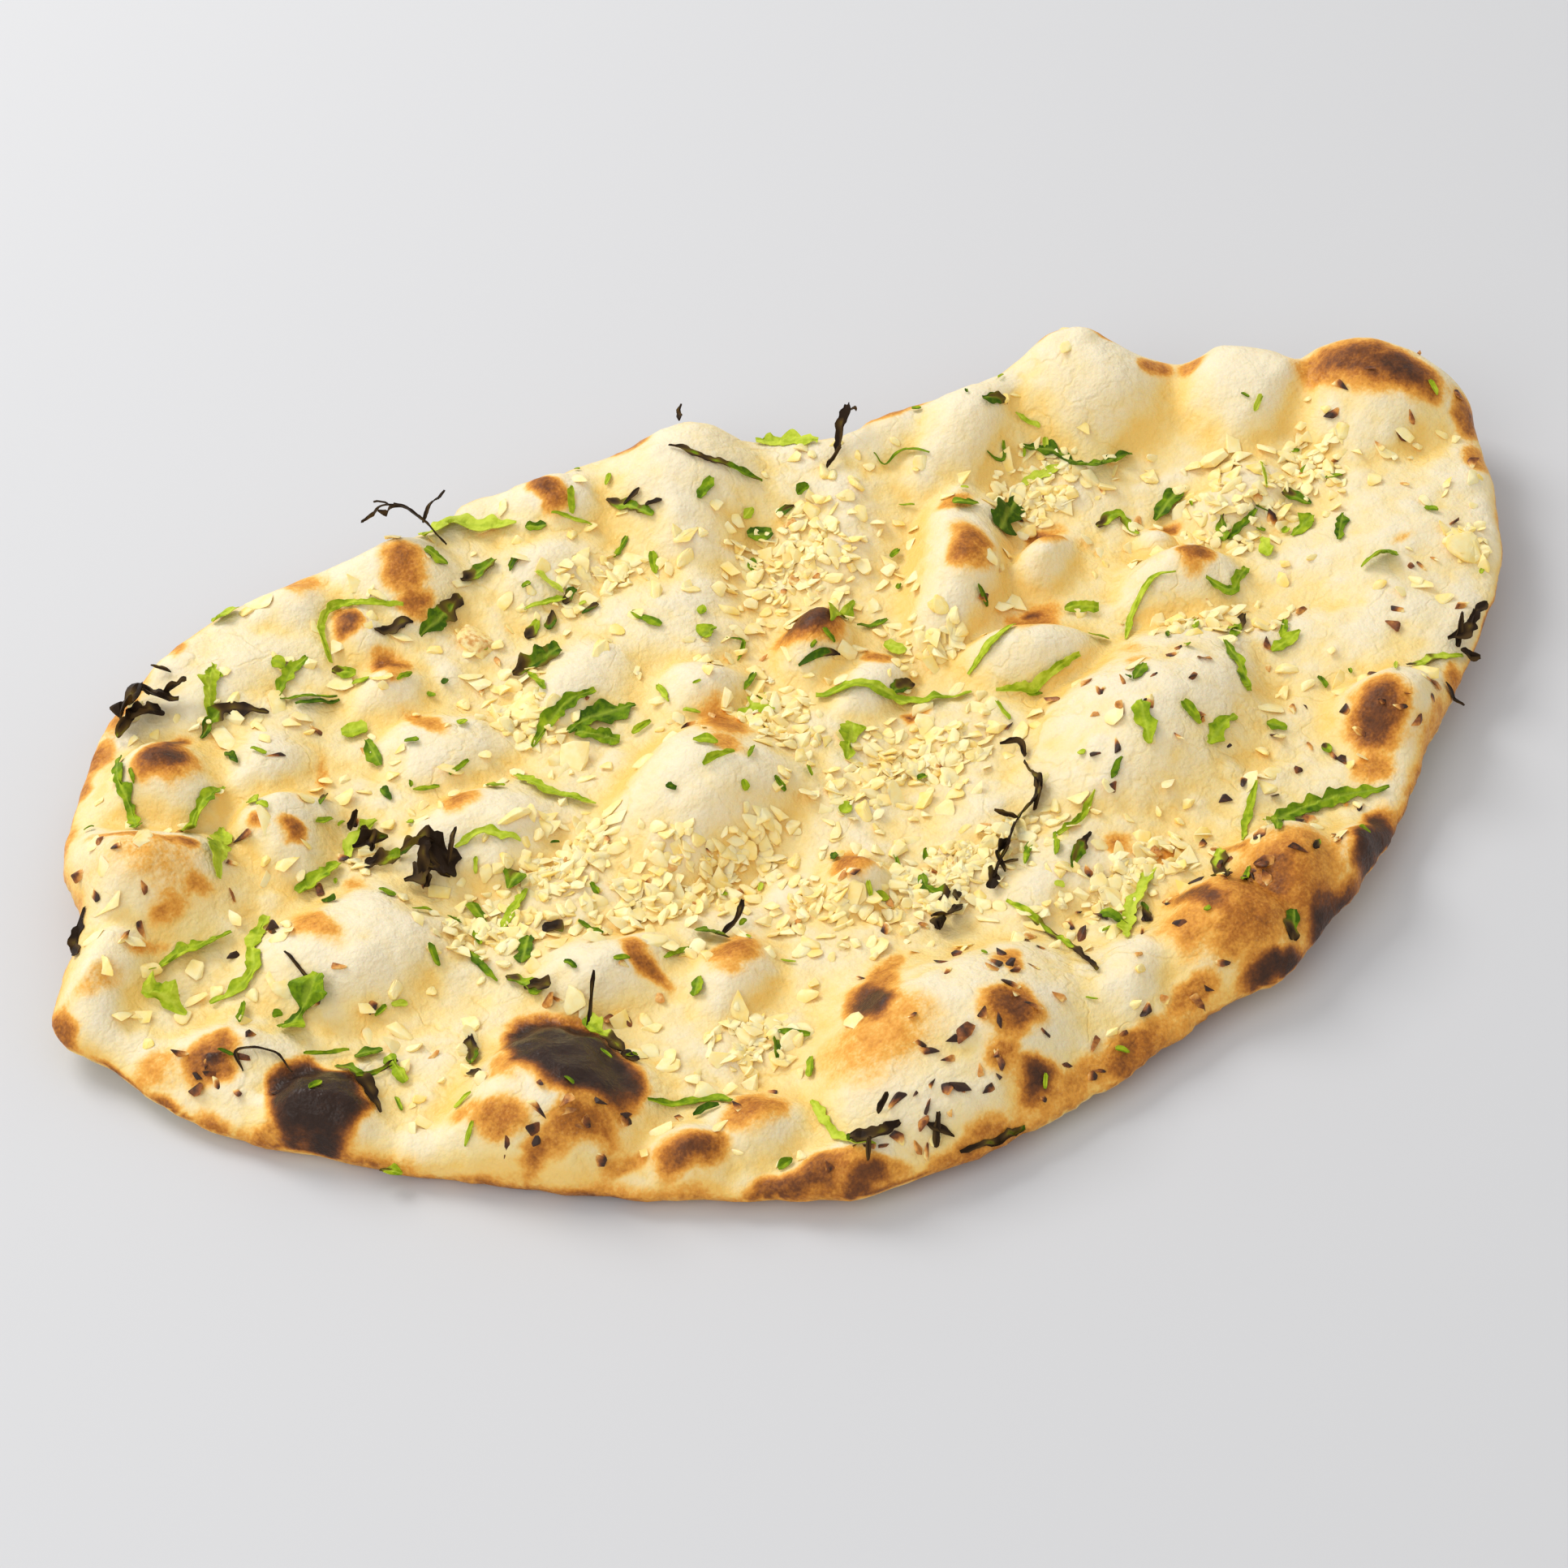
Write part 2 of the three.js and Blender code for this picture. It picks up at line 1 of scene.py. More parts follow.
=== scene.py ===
import bpy
import bmesh
import numpy as np
from math import cos, pi, radians, sin
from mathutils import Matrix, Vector


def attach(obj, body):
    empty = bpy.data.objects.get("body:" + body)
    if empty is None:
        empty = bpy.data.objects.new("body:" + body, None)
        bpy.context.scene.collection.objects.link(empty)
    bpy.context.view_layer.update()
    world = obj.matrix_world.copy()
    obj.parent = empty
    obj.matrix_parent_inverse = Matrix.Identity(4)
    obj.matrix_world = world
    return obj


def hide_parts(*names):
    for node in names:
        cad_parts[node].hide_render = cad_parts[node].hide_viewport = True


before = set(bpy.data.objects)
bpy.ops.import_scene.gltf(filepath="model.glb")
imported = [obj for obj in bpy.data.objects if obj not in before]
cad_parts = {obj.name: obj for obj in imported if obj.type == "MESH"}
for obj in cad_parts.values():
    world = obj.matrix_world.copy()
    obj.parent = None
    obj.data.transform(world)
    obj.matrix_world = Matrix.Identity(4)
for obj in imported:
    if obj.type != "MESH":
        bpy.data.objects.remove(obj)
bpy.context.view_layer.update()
MM = 0.001


# The bread lies on a plain pale floor, in wide soft light that comes from behind on the left.
# The camera looks down on the bread at 45 degrees, from the side of its darker long edge.
LOOK_AT = Vector((-0.0185, -0.004, 0.008))
CAMERA_DISTANCE = 0.742
CAMERA_ELEVATION = radians(45)
CAMERA_TURN = radians(33)
camera = bpy.data.objects.new("camera", bpy.data.cameras.new("camera"))
flat_reach = CAMERA_DISTANCE * cos(CAMERA_ELEVATION)
camera.location = LOOK_AT + Vector((
    -flat_reach * sin(CAMERA_TURN),
    -flat_reach * cos(CAMERA_TURN),
    CAMERA_DISTANCE * sin(CAMERA_ELEVATION),
))
camera.rotation_euler = (LOOK_AT - camera.location).to_track_quat("-Z", "Y").to_euler()
camera.data.sensor_fit = "HORIZONTAL"
camera.data.angle = radians(24)
bpy.context.scene.collection.objects.link(camera)
bpy.context.scene.camera = camera
bpy.context.scene.view_settings.view_transform = "Standard"


def add_node(tree, kind, inputs=(), **settings):
    """A shader node: inputs are pairs of a socket and its value or the socket that feeds it."""
    node = tree.nodes.new("ShaderNode" + kind)
    for name, value in settings.items():
        setattr(node, name, value)
    for socket, value in inputs:
        if isinstance(value, bpy.types.NodeSocket):
            tree.links.new(value, node.inputs[socket])
        else:
            node.inputs[socket].default_value = value
    return node


def new_material(name):
    material = bpy.data.materials.new(name)
    material.use_nodes = True
    return material, material.node_tree, material.node_tree.nodes["Principled BSDF"]


floor_bm = bmesh.new()
bmesh.ops.create_grid(floor_bm, x_segments=1, y_segments=1, size=9)
floor_mesh = bpy.data.meshes.new("floor")
floor_bm.to_mesh(floor_mesh)
floor_bm.free()
floor = bpy.data.objects.new("floor", floor_mesh)
floor.location.z = -0.0002
bpy.context.scene.collection.objects.link(floor)
floor_material, floor_tree, floor_shader = new_material("pale_floor")
floor_shader.inputs["Base Color"].default_value = (0.62, 0.62, 0.63, 1)
floor_shader.inputs["Roughness"].default_value = 0.85
floor_mesh.materials.append(floor_material)

world = bpy.data.worlds.new("pale_walls")
world.use_nodes = True
world.node_tree.nodes["Background"].inputs["Color"].default_value = (1.0, 1.0, 1.0, 1)
world.node_tree.nodes["Background"].inputs["Strength"].default_value = 0.67
bpy.context.scene.world = world


def add_window(name, place, size, power):
    light = bpy.data.lights.new(name, "AREA")
    light.size = size
    light.energy = power
    lamp = bpy.data.objects.new(name, light)
    lamp.location = place
    lamp.rotation_euler = (-Vector(place)).to_track_quat("-Z", "Y").to_euler()
    bpy.context.scene.collection.objects.link(lamp)


add_window("window", (-0.35, 1.05, 1.0), 0.7, 12.3)
add_window("second_window", (-1.1, -0.3, 0.9), 0.9, 5.0)


# The bread is one sheet of leavened dough, stretched by hand and baked on a hot wall: thin between
# its bubbles, blistered, raised at the far rim. It is a ball of fine triangles that is flattened to
# the rim's outline, and its height is worked out from the same sizes as the solid it replaces.
HALF_LENGTH = 169
HALF_WIDTH = 102
DOUGH = 6
TOP_ROUND = 8
UNDER_ROUND = 5
FLAT_EDGE = 3
FLAT_SHARE = 0.45
# The rim anticlockwise from the blunt left tip: x, y and the height of its edge, in mm.
RIM = [
    (-169, 17, 7), (-164, 4, 5), (-158, -12, 4), (-148, -26, 3), (-114, -61, 3), (-74, -91, 4),
    (-55, -100, 5), (-15, -102, 5), (24, -98, 6), (36, -98, 7), (68, -86, 8), (84, -75, 7),
    (141, -37, 11), (164, -2, 13), (169, 9, 16), (167, 22, 16), (155, 34, 17), (145, 38, 15),
    (132, 50, 14), (121, 54, 15), (106, 71, 18), (92, 70, 17), (78, 70, 15), (60, 74, 14),
    (43, 76, 13), (29, 85, 13), (17, 95, 13), (-18, 100, 11), (-32, 102, 11), (-46, 99, 10),
    (-93, 99, 10), (-126, 84, 8), (-150, 54, 9), (-154, 38, 9),
]
# The bubbles: x, y, half length, half width, turn in degrees, rise.
BUBBLES = [
    (-123, 61, 11, 11, 0, 9), (-141, 36, 16, 15, 0, 11), (-156, 19, 12, 7, 40, 5),
    (-112, 37, 11, 10, 0, 8), (-103, 56, 9, 7, 0, 4), (-113, 3, 19, 14, -10, 8),
    (-76, 18, 16, 11, 5, 7), (-71, 43, 12, 9, 0, 4.5), (-71, 64, 7, 7, 0, 5),
    (-71, 80, 6, 6, 0, 4), (-58, 88, 11, 14, 10, 6), (-80, 93, 8, 7, 0, 3),
    (-18, 91, 10, 10, 0, 4), (8, 78, 16, 19, -15, 8), (-14, 53, 17, 13, 0, 5),
    (8, 27, 8, 8, 0, 9), (-32, 2, 20, 15, 15, 12), (-19, 30, 10, 8, 0, 6),
    (-36, 44, 16, 9, 20, 5), (14, 11, 8, 7, 0, 5), (47, 30, 22, 10, 48, 11),
    (64, 22, 8, 7, 0, 8), (86, 0, 12, 11, 0, 9), (90, 14, 5, 4, 0, 4),
    (46, 0, 12, 9, 0, 9), (54, -30, 30, 19, 18, 13), (-21, -34, 7, 7, 0, 6),
    (-53, -41, 8, 7, 0, 5), (-76, -28, 13, 10, 0, 7), (-139, -33, 11, 13, -30, 9),
    (-101, -52, 18, 16, -20, 13), (-86, -76, 7, 6, 0, 5), (-72, -74, 9, 7, 0, 5),
    (-66, -93, 13, 6, -12, 4), (-29, -79, 28, 19, 0, 13), (30, -86, 13, 12, 0, 10),
    (48, -79, 10, 12, 0, 9), (63, -84, 9, 7, 0, 6), (95, -58, 13, 11, 30, 8),
    (152, 17, 17, 16, 0, 10), (101, 55, 16, 15, 0, 9), (128, 37, 14, 12, 30, 8),
    (124, -14, 26, 20, 0, 4), (-104, 80, 13, 9, 0, 3), (72, 58, 16, 11, 0, 7),
    (55, 70, 8, 6, 0, 3), (-28, 72, 14, 11, 0, 3), (95, -32, 13, 11, 0, 3),
    (18, -52, 22, 10, 20, 4), (6, -84, 14, 10, 0, 6), (-146, -8, 9, 8, 0, 3),
    (112, 14, 14, 10, 20, 4), (34, 50, 15, 9, 45, 3), (-130, 84, 8, 6, 40, 2),
]
PIT = (-38, -19, 13, 7, 10, 4.5)
# Browned and burnt places: x, y, half length, half width, turn, how dark from 0 to 1.
BAKED = [
    (-123, 60, 6.5, 5.5, 0, 0.74), (-118, 67, 2.5, 5, -30, 0.7), (-139, 34, 12, 7, -40, 0.2),
    (-138, 41, 12, 1.8, -40, 0.38),
    (-141, 26, 5, 2.4, 0, 0.34), (-133, 28, 3.5, 2, 0, 0.34), (-131, 37, 3, 2.6, 0, 0.5),
    (-168, 14, 2.5, 6, 0, 0.5), (-160, 17, 7, 3, 0, 0.2), (-147, 21, 4, 2, 0, 0.26),
    (-133, 76, 4, 3, 50, 0.45), (-148, 57, 6, 2.5, 50, 0.3), (-138, 70, 4, 2.5, 50, 0.4),
    (-122, 85, 11, 3, 40, 0.32), (-104, 96, 2.5, 4, -20, 0.34), (-75, 96, 5, 6, 0, 0.3),
    (-72, 81, 3, 4.2, 0, 0.6), (-69, 67, 3.6, 4.6, 0, 0.58), (-55, 87, 5, 6.5, 0, 0.46),
    (-57, 78, 4.2, 3.6, 0, 0.5), (-54, 100, 7, 3, 0, 0.42), (-71, 50, 3, 6, 20, 0.34),
    (-110, 33, 2.6, 3, 0, 0.56), (-115, 37, 2.2, 1.8, 0, 0.4), (-77, 26, 4, 5, 10, 0.38),
    (-118, 9, 3.6, 8, 10, 0.31), (-104, 18, 3, 3, 0, 0.25), (-95, 49, 2, 6, -20, 0.26),
    (-149, -8, 6.5, 4.5, 30, 0.56), (-149, -8, 2.4, 2, 30, 0.85), (-158, -3, 5, 4, 0, 0.28),
    (-136.5, -27, 8, 11, 4, 0.98), (-113, -53, 6, 3, -45, 0.42), (-116, -47, 3, 2.4, 0, 0.3),
    (-161, -10, 2.5, 3.5, 0, 0.6), (-156, -19, 3, 5, 30, 0.55), (-149, -28, 4, 5, 45, 0.5),
    (-141, -36, 5, 3, -40, 0.35), (-93.5, -46, 10.5, 16.5, 5, 0.98), (-101, -63, 8, 3, -15, 0.5),
    (-110, -61, 3, 2.4, 0, 0.46), (-96, -69, 5, 2, -20, 0.34), (-107, -44, 3, 7, 0, 0.28),
    (-85, -75, 6.5, 3.2, -25, 0.66), (-71, -74, 7, 4.5, 0, 0.44), (-72, -90, 12, 3, -20, 0.6),
    (-62, -97, 8, 2.5, -10, 0.62), (-68, -31, 2.8, 7, 10, 0.5), (-85, -52, 4, 3, 0, 0.36),
    (-18, 91, 3.2, 6, 5, 0.55), (-14, 99, 4, 2, 0, 0.42), (5, 96, 4.5, 4, 0, 0.44),
    (9, 29, 6.5, 5.5, 0, 0.72), (-21, 15, 5, 9, -20, 0.43), (-26, 4, 3, 4, 0, 0.34),
    (18, 17, 3.2, 3.4, 0, 0.42), (48, 28, 7, 4.6, 45, 0.5), (56, 43, 3.6, 3, 0, 0.36),
    (68, 27, 5.5, 3.8, 35, 0.56), (52, 8, 8, 5, 35, 0.44), (54, 12, 2.4, 2, 0, 0.7),
    (-20, -30, 6, 4, 55, 0.45), (-52, -38, 7, 5, 40, 0.42), (-40, -67, 4.6, 7, -25, 0.8),
    (-44, -76, 12, 10, 0, 0.27), (-33, -62, 4, 8, -30, 0.4), (-28, -57, 4, 2.5, 30, 0.34),
    (-21, -85, 6, 5, 0, 0.64), (-13, -75, 2.6, 4, -20, 0.44), (-23, -97, 4.5, 3, 0, 0.74),
    (-2, -99, 10, 3.6, 0, 0.52), (-28, -92, 4, 4, 0, 0.4), (15, -95, 6, 3, 10, 0.42),
    (-40, -101, 18, 2.4, 0, 0.4), (28, -80, 4.4, 7, 10, 0.62), (31, -90, 9, 6, 0, 0.46),
    (33, -98, 8, 2.4, 0, 0.86), (43, -84, 5.5, 7, 0, 0.54), (50, -92, 7, 3, 15, 0.7),
    (66, -84, 9, 3.2, 38, 0.88), (44, -71, 2, 5, 0, 0.4), (28, -54, 4, 3, 0, 0.34),
    (35, -62, 4.2, 2, 10, 0.34), (16, -1, 2.4, 1.2, 0, 0.6), (60, 72, 8, 2.4, 0, 0.4),
    (101, 72, 9, 3, 0, 0.42), (108, 64, 3, 7, 30, 0.36), (115, 50, 5, 3, 20, 0.44),
    (123, 48, 3.4, 3, 40, 0.38), (150, 21, 14, 7, -51, 0.6), (155, 14, 8, 5.5, -51, 0.74),
    (145, 30, 5, 4, 0, 0.42), (152, 37, 6, 3, 0, 0.4), (93, 17, 4, 2.4, 20, 0.52),
    (89, 2, 4.6, 5.6, -30, 0.54), (164, 2, 3, 6, -20, 0.5), (157, -9, 3, 6, -40, 0.36),
    (89, -59, 6.5, 7, -40, 0.64), (82, -67, 5, 5, 0, 0.38), (100, -64, 9, 2.5, 35, 0.34),
    (73, -81, 6, 4, 45, 0.84), (72, -82, 4, 3, 40, 0.8), (112, -57, 6, 2, 40, 0.4),
    (42, -85, 18, 11, 10, 0.42), (21, -84, 5, 7, 0, 0.34), (51, -93, 10, 2.8, 20, 0.88),
    (-8, -99, 32, 3.5, 2, 0.32),
    (61, -14, 3, 4, 0, 0.2), (58, -20, 2, 3, 0, 0.22), (128, -20, 3, 2, 0, 0.22),
]


def closed_curve(points, steps):
    """Even steps of the index round a closed smooth curve through the points."""
    corners = np.array(points, float)
    index = np.arange(steps) * len(corners) / steps
    i = index.astype(int)
    f = (index - i)[:, None]
    a, b, c, d = (corners[(i + k) % len(corners)] for k in (-1, 0, 1, 2))
    return 0.5 * (2 * b + (c - a) * f + (2 * a - 5 * b + 4 * c - d) * f**2 + (3 * b - a - 3 * c + d) * f**3)


RIM_STEPS = 1440
rim_line = closed_curve(RIM, RIM_STEPS)
rim_angles = np.arctan2(rim_line[:, 1], rim_line[:, 0])


LATTICE = 64


def soft_noise(x, y, size, seed):
    """Smooth seeded noise from -1 to 1 over x and y, with lumps about as wide as size."""
    lattice = np.random.default_rng(seed).uniform(-1, 1, (LATTICE, LATTICE))
    u, v = x / size + 31.7 * seed, y / size + 17.3 * seed
    i, j = np.floor(u).astype(int), np.floor(v).astype(int)
    f, g = (t * t * (3 - 2 * t) for t in (u - i, v - j))
    left, right, front, back = i % LATTICE, (i + 1) % LATTICE, j % LATTICE, (j + 1) % LATTICE
    near = lattice[left, front] * (1 - f) + lattice[right, front] * f
    far = lattice[left, back] * (1 - f) + lattice[right, back] * f
    return near * (1 - g) + far * g


def rim_at(x, y):
    """How far the rim is from the middle in the direction of each point, and its edge's height."""
    angles = np.arctan2(y, x)
    order = np.argsort(rim_angles)
    radii = np.hypot(rim_line[:, 0], rim_line[:, 1])
    reach = np.interp(angles, rim_angles[order], radii[order], period=2 * pi)
    around_x, around_y = 130 * np.cos(angles), 130 * np.sin(angles)
    notches = 0.7 * soft_noise(around_x, around_y, 10, 21) + 0.4 * soft_noise(around_x, around_y, 2.6, 22)
    return reach + notches, np.interp(angles, rim_angles[order], rim_line[order, 2], period=2 * pi)


def smooth_step(low, high, value):
    share = np.clip((value - low) / (high - low), 0, 1)
    return share * share * (3 - 2 * share)


def smooth_max(a, b, blend):
    share = np.clip(0.5 + 0.5 * (a - b) / blend, 0, 1)
    return b * (1 - share) + a * share + blend * share * (1 - share)


def oval_distance(x, y, oval):
    """Squared distance from an oval's middle, 1 on the oval."""
    turn = radians(oval[4])
    along = ((x - oval[0]) * cos(turn) + (y - oval[1]) * sin(turn)) / oval[2]
    across = ((y - oval[1]) * cos(turn) - (x - oval[0]) * sin(turn)) / oval[3]
    return along**2 + across**2


def bubble_height(x, y):
    warped_x = x + 1.6 * np.sin(y / 8.3 + 0.7) + np.sin(x / 5.1 + y / 11)
    warped_y = y + 1.6 * np.sin(x / 9.4 + 2.1) + np.sin(y / 4.7 - x / 12)
    domes = np.zeros_like(x)
    swell = np.zeros_like(x)
    for bubble in BUBBLES:
        distance = oval_distance(warped_x, warped_y, bubble)
        rise = bubble[5]
        domes = smooth_max(domes, np.maximum(0.86 * rise * (1 - 0.8 * distance), -8), 1 + 0.26 * rise)
        swell = np.maximum(swell, 0.19 * rise * np.exp(-0.55 * distance))
    return domes + swell - PIT[5] * np.exp(-oval_distance(x, y, PIT))


# Where minced garlic is thick, and butter with it: x, y, spread along X and along Y.
GARLIC_HEAPS = [
    (-45, -12, 27, 9), (22, 50, 18, 11), (111, 10, 18, 10), (-66, 3, 16, 8), (0, -42, 28, 7),
    (-27, -34, 12, 6), (-14, 12, 12, 12), (8, -12, 18, 8), (75, 40, 12, 8), (78, -14, 10, 8),
    (22, -62, 16, 7), (30, 14, 8, 8), (-60, -58, 8, 6), (-52, 42, 8, 8), (-88, -6, 9, 6),
    (-20, 66, 12, 6), (139, -28, 5, 6), (128, 12, 10, 6),
]


def garlic_heaps(x, y):
    heaps = np.zeros_like(x)
    for cx, cy, spread_x, spread_y in GARLIC_HEAPS:
        heaps = np.maximum(heaps, np.exp(-((x - cx) / spread_x)**2 - ((y - cy) / spread_y)**2))
    return heaps


# Small blisters all over the top: x, y, radius and rise of each, drawn once.
BLISTER_COUNT = 330
blister_draw = np.random.default_rng(11)
BLISTERS = np.column_stack([
    blister_draw.uniform(-HALF_LENGTH, HALF_LENGTH, BLISTER_COUNT),
    blister_draw.uniform(-HALF_WIDTH, HALF_WIDTH, BLISTER_COUNT),
    blister_draw.uniform(2.4, 5.5, BLISTER_COUNT),
    blister_draw.uniform(0.25, 0.9, BLISTER_COUNT),
])


def crust_unevenness(x, y):
    """Swells, wrinkles and small blisters of the crust."""
    swells = 0.5 * np.sin(x / 9.1 + 1.3) * np.sin(y / 7.7 + 0.4) + 0.4 * np.sin(x / 5.3 - y / 8.9 + 2)
    wrinkles = (
        0.3 * np.sin(y / 4.1 + x / 6.7)
        + 0.4 * soft_noise(x, y, 6.5, 3)
        + 0.22 * soft_noise(x, y, 2.8, 4)
    )
    blisters = np.zeros_like(x)
    for cx, cy, radius, rise in BLISTERS:
        near = np.abs(x - cx) + np.abs(y - cy) < 2.2 * radius
        share = ((x[near] - cx)**2 + (y[near] - cy)**2) / radius**2
        blisters[near] = np.maximum(blisters[near], rise * np.maximum(1 - share, 0)**1.5)
    return swells + wrinkles + blisters


def hollowness(x, y, reach):
    """How much lower each point is than the crust round it, in mm."""
    around = np.zeros_like(x)
    for turn in np.arange(0, 2 * pi, pi / 4):
        around += top_height(x + reach * cos(turn), y + reach * sin(turn)) / 8
    return around - top_height(x, y)


def under_height(edge, share):
    return np.maximum(edge - FLAT_EDGE, 0) * smooth_step(FLAT_SHARE, 1, share)**1.3


def top_height(x, y):
    """Height of the bread's top inside its rim, in mm."""
    reach, edge = rim_at(x, y)
    share = np.hypot(x, y) / reach
    height = under_height(edge, share) + DOUGH + bubble_height(x, y) + crust_unevenness(x, y)
    over = np.clip((share * reach - (reach - TOP_ROUND)) / TOP_ROUND, 0, 1)
    return edge + (height - edge) * np.sqrt(1 - over**2)


def baked_at(x, y):
    """How far the crust is baked: 0 pale, a third tan, two thirds brown, 1 black."""
    shifted_x = x + 1.5 * soft_noise(x, y, 5.0, 7) + 0.7 * soft_noise(x, y, 2.2, 8)
    shifted_y = y + 1.5 * soft_noise(x, y, 5.0, 9) + 0.7 * soft_noise(x, y, 2.2, 10)
    baked = np.zeros_like(x)
    for place in BAKED:
        distance = np.sqrt(oval_distance(shifted_x, shifted_y, place))
        clear, outer = (0.3, 1.55) if place[5] < 0.96 else (0.72, 1.24)
        baked = np.maximum(baked, place[5] * (1 - smooth_step(clear, outer, distance)))
    return baked


# The ball's upper part, which becomes the top, has this share of its surface.
TOP_SHARE = 0.76
bread_bm = bmesh.new()
bmesh.ops.create_icosphere(bread_bm, subdivisions=7, radius=1.0)
ball = np.array([v.co for v in bread_bm.verts])
drop = (1 - ball[:, 2]) / 2
is_top = drop < TOP_SHARE
outward = np.where(is_top, np.sqrt(drop / TOP_SHARE), np.sqrt((1 - drop) / (1 - TOP_SHARE)))
turned = np.arctan2(ball[:, 1], ball[:, 0])
spread_x, spread_y = HALF_LENGTH * np.cos(turned), HALF_WIDTH * np.sin(turned)
reach, edge = rim_at(spread_x, spread_y)
heading = np.arctan2(spread_y, spread_x)
rounding = np.where(is_top, TOP_ROUND, UNDER_ROUND)
arc = reach + 0.2 * rounding
rolled = np.clip((outward * arc - (reach - rounding)) / (1.2 * rounding), 0, 1) * pi / 2
distance_out = np.where(rolled > 0, reach - rounding + rounding * np.sin(rolled), outward * arc)
bread_x, bread_y = distance_out * np.cos(heading), distance_out * np.sin(heading)
share_out = distance_out / reach
full_top = under_height(edge, share_out) + DOUGH + bubble_height(bread_x, bread_y)
full_top = full_top + crust_unevenness(bread_x, bread_y)
top_baked = baked_at(bread_x, bread_y)
char_lumps = 0.9 * soft_noise(bread_x, bread_y, 5, 5) + 0.6 * soft_noise(bread_x, bread_y, 2.6, 6)
full_top = full_top + char_lumps * smooth_step(0.65, 0.9, top_baked)
full = np.where(is_top, full_top, under_height(edge, share_out))
bread_z = edge + (full - edge) * np.cos(rolled)
for vertex, x, y, z in zip(bread_bm.verts, bread_x, bread_y, bread_z):
    vertex.co = (x * MM, y * MM, z * MM)
bmesh.ops.beautify_fill(bread_bm, faces=bread_bm.faces[:], edges=bread_bm.edges[:], method="ANGLE")
bread_mesh = bpy.data.meshes.new("naan_bread")
bread_bm.to_mesh(bread_mesh)
bread_bm.free()
bread_mesh.shade_smooth()
bread = bpy.data.objects.new("naan_bread", bread_mesh)
bpy.context.scene.collection.objects.link(bread)


def set_attribute(mesh, name, values):
    mesh.attributes.new(name, "FLOAT", "POINT").data.foreach_set("value", np.asarray(values, np.float32))


# Butter gathers in every hollow, most between the bubbles. The yellowing there is partly painted
# shade: hollows and creases are made yellower both for pooled butter and as painted shade, and steep
# slopes are made yellower as painted shade alone. The underside is evenly baked, with some brown
# patches.
under_baked = 0.24 + 0.2 * soft_noise(bread_x, bread_y, 22, 31) + 0.16 * soft_noise(bread_x, bread_y, 9, 32)
at_edge = smooth_step(0.25, 1, rolled / (pi / 2)) * (0.22 + 0.2 * soft_noise(bread_x, bread_y, 9, 33))
edge_line = smooth_step(0.7, 1, rolled / (pi / 2)) * (0.36 + 0.28 * soft_noise(bread_x, bread_y, 5, 34))
top_baked = np.maximum(np.maximum(top_baked, at_edge), edge_line)
low_ground = (1 - smooth_step(0.0, 5.0, bubble_height(bread_x, bread_y))) * garlic_heaps(bread_x, bread_y)
valleys = smooth_step(-1.8, 1.8, hollowness(bread_x, bread_y, 8))
creases = smooth_step(-0.2, 0.5, hollowness(bread_x, bread_y, 2.6))
steepness = 1 - np.array([vertex.normal.z for vertex in bread_mesh.vertices])
# Painted shade: steep slopes, and in part hollows and creases, are coloured as if in golden shade.
butter_and_painted_shade = 0.44 * valleys + 0.35 * creases + 0.12 * low_ground + 0.85 * steepness
set_attribute(bread_mesh, "baked", np.where(is_top, top_baked, np.clip(under_baked, 0.05, 0.6)))
set_attribute(bread_mesh, "butter_and_shade", np.where(is_top, butter_and_painted_shade, 0.3))


def remapped(tree, value, low, high, at_low=0.0, at_high=1.0):
    """Goes from at_low to at_high as the value goes from low to high, and no further."""
    return add_node(tree, "MapRange", [
        ("Value", value),
        ("From Min", low),
        ("From Max", high),
        ("To Min", at_low),
        ("To Max", at_high),
    ]).outputs["Result"]


# Fine mottling is a group, because the crust, the garlic and the leaves all have it at their own size.
# Its mask is noise that runs between the low and the high value.
mottle_group = bpy.data.node_groups.new("fine_mottle", "ShaderNodeTree")
mottle_group.interface.new_socket("Lumps per metre", in_out="INPUT", socket_type="NodeSocketFloat")
mottle_group.interface.new_socket("Low", in_out="INPUT", socket_type="NodeSocketFloat")
mottle_group.interface.new_socket("High", in_out="INPUT", socket_type="NodeSocketFloat")
mottle_group.interface.new_socket("Mask", in_out="OUTPUT", socket_type="NodeSocketFloat")
group_in = mottle_group.nodes.new("NodeGroupInput")
group_out = mottle_group.nodes.new("NodeGroupOutput")
group_place = add_node(mottle_group, "TexCoord")
group_noise = add_node(mottle_group, "TexNoise", [
    ("Vector", group_place.outputs["Object"]),
    ("Scale", group_in.outputs["Lumps per metre"]),
    ("Detail", 3.0),
])
group_mask = remapped(
    mottle_group, group_noise.outputs["Fac"], 0.3, 0.7, group_in.outputs["Low"], group_in.outputs["High"]
)
mottle_group.links.new(group_mask, group_out.inputs["Mask"])


def mottle(tree, lumps_per_metre, low, high):
    """The mask of one fine mottling group, placed in a material."""
    node = add_node(tree, "Group", node_tree=mottle_group)
    node.inputs["Lumps per metre"].default_value = lumps_per_metre
    node.inputs["Low"].default_value = low
    node.inputs["High"].default_value = high
    return node.outputs["Mask"]


def math(tree, operation, a, b):
    return add_node(tree, "Math", [(0, a), (1, b)], operation=operation).outputs[0]


def mix_colour(tree, share, a, b):
    node = add_node(tree, "Mix", [("Factor", share), (6, a), (7, b)], data_type="RGBA")
    return node.outputs[2]


def colour_ramp(tree, value, stops):
    node = add_node(tree, "ValToRGB", [("Fac", value)])
    ramp = node.color_ramp
    while len(ramp.elements) < len(stops):
        ramp.elements.new(0.5)
    for element, (position, colour) in zip(ramp.elements, stops):
        element.position = position
        element.color = (*colour, 1)
    return node.outputs["Color"]


def attribute_value(tree, name):
    return add_node(tree, "Attribute", attribute_name=name).outputs["Fac"]


